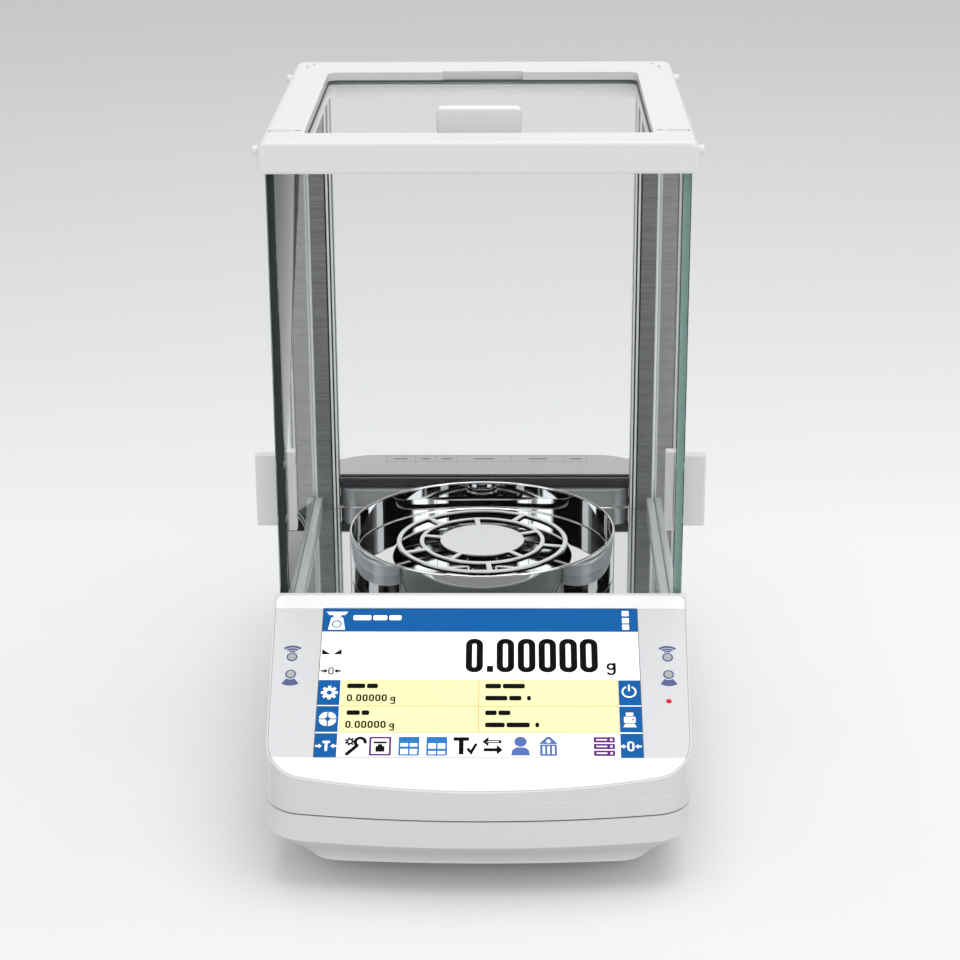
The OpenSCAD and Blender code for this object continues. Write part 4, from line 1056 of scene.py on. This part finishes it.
def floor_mat():
    """Pale floor with painted shade: its colour darkens smoothly towards the back in place of light falling off."""
    m = stage_mat("floor", (0.8, 0.8, 0.8))
    nt = m.node_tree
    N, L = nt.nodes, nt.links
    p = N["Principled BSDF"]
    tc = N.new("ShaderNodeTexCoord")
    sx = N.new("ShaderNodeSeparateXYZ")
    L.new(tc.outputs["Object"], sx.inputs[0])
    mr = N.new("ShaderNodeMapRange")
    mr.inputs["From Min"].default_value = -1.0
    mr.inputs["From Max"].default_value = 3.0
    L.new(sx.outputs["Y"], mr.inputs["Value"])
    cr = N.new("ShaderNodeValToRGB")
    stops = FLOOR_SHADE_STOPS
    e = cr.color_ramp.elements
    while len(e) < len(stops):
        e.new(0.5)
    for k, (y, v) in enumerate(stops):
        e[k].position = (y + 1.0) / 4.0
        e[k].color = (v * 0.985, v * 0.99, v * 1.0, 1)
    L.new(mr.outputs["Result"], cr.inputs["Fac"])
    L.new(cr.outputs["Color"], p.inputs["Base Color"])
    return m


# painted shade: floor colour stops by Y in metres, darkening towards the back
FLOOR_SHADE_STOPS = [(-1.0, 0.90), (-0.23, 0.895), (0.09, 0.892), (0.277, 0.90), (0.39, 0.866), (0.52, 0.85), (0.672, 0.823),
         (0.916, 0.803), (1.229, 0.794), (1.642, 0.80), (2.54, 0.80)]
quad("floor", [(-9, -6, 0), (9, -6, 0), (9, 9, 0), (-9, 9, 0)], floor_mat())


def card(name, pts, m):
    o = quad(name, pts, m)
    o.visible_camera = False
    o.visible_diffuse = False
    o.visible_shadow = False
    return o


def ring_card(name, az0, az1, el0, el1, dist, m, k=6):
    """Upright card round the chamber; azimuth 0 is towards the front, in degrees."""
    for i in range(k):
        a, b = az0 + (az1 - az0) * i / k, az0 + (az1 - az0) * (i + 1) / k
        z0, z1 = 0.12 + dist * math.tan(rad(el0)), 0.12 + dist * math.tan(rad(el1))
        p = [(dist * math.sin(rad(t)), -dist * math.cos(rad(t)), z) for t, z in ((a, z0), (b, z0), (b, z1), (a, z1))]
        card(f"{name}_{i}", p, m)


dark = stage_mat("card_dark", (0.003, 0.003, 0.003))
dark.node_tree.nodes["Principled BSDF"].inputs["Specular IOR Level"].default_value = 0.0


def glow(name, v):
    m = bpy.data.materials.new(name)
    m.use_nodes = True
    N, L = m.node_tree.nodes, m.node_tree.links
    N.remove(N["Principled BSDF"])
    e = N.new("ShaderNodeEmission")
    e.inputs["Color"].default_value = (v, v, v, 1)
    L.new(e.outputs[0], N["Material Output"].inputs["Surface"])
    return m


def mirror_only(name, v):
    """Seen only in mirrors: clear to every ray that hasn't bounced off a polished face."""
    m = glow(name, v)
    N, L = m.node_tree.nodes, m.node_tree.links
    e = next(n for n in N if n.type == "EMISSION")
    lp, tr, mx = N.new("ShaderNodeLightPath"), N.new("ShaderNodeBsdfTransparent"), N.new("ShaderNodeMixShader")
    L.new(lp.outputs["Glossy Depth"], mx.inputs[0])
    L.new(tr.outputs[0], mx.inputs[1])
    L.new(e.outputs[0], mx.inputs[2])
    L.new(mx.outputs[0], N["Material Output"].inputs["Surface"])
    return m


bright, pale = glow("card_bright", 1.35), glow("card_pale", 0.86)
grey, unlit = mirror_only("card_grey", 0.27), mirror_only("card_unlit", 0.002)
for k, (x0, x1, y0, y1) in enumerate(((-1.3, 1.3, -1.7, -0.2), (-1.3, -0.14, -0.2, -0.11), (0.14, 1.3, -0.2, -0.11))):
    card(f"front_floor_card_{k}", [(x0, y0, 0.004), (x1, y0, 0.004), (x1, y1, 0.004), (x0, y1, 0.004)], grey)
ring_card("front_dark", -32, 32, 8, 36, 1.9, dark)
ring_card("front_left", -66, -34, 4, 50, 1.9, bright)
ring_card("front_right", 34, 66, 4, 50, 1.9, bright)
ring_card("side_left", -104, -68, 4, 46, 1.9, unlit)
ring_card("side_right", 68, 104, 4, 46, 1.9, unlit)
ring_card("rear", 150, 210, 3, 50, 2.0, pale)
ring_card("rear_left", -148, -118, 3, 44, 2.0, unlit)
ring_card("rear_right", 118, 148, 3, 44, 2.0, unlit)

world = bpy.data.worlds.new("soft")
world.use_nodes = True
bg = world.node_tree.nodes["Background"]
bg.inputs["Color"].default_value = (0.985, 0.99, 1.0, 1)
bg.inputs["Strength"].default_value = 0.655
scene.world = world


def area(name, loc, target, size, power, size_y=None):
    d = bpy.data.lights.new(name, "AREA")
    d.shape = "RECTANGLE"
    d.size, d.size_y = size, size_y or size
    d.energy = power
    o = bpy.data.objects.new(name, d)
    scene.collection.objects.link(o)
    o.location = loc
    o.rotation_euler = (Vector(target) - Vector(loc)).to_track_quat("-Z", "Y").to_euler()
    return o


area("key_top", (0.25, 0.0, 2.0), (0, 0, 0.15), 1.8, 18.5, 1.8)
area("fill_front", (0.3, -2.6, 1.3), (0, 0, 0.15), 2.2, 11.5, 1.4)

cam = bpy.data.cameras.new("camera")
cam.lens, cam.sensor_width, cam.clip_start, cam.clip_end = 88.90, 36, 0.05, 50
camera = bpy.data.objects.new("camera", cam)
scene.collection.objects.link(camera)
camera.location = (0.01599, -1.14134, 0.55422)
camera.rotation_mode = "QUATERNION"
camera.rotation_quaternion = (Matrix.Rotation(rad(0.853), 4, "Z") @ Matrix.Rotation(rad(70.104), 4, "X")
                              @ Matrix.Rotation(rad(-0.282), 4, "Z")).to_quaternion()
scene.camera = camera
scene.view_settings.view_transform = "Standard"
scene.view_settings.look = "None"
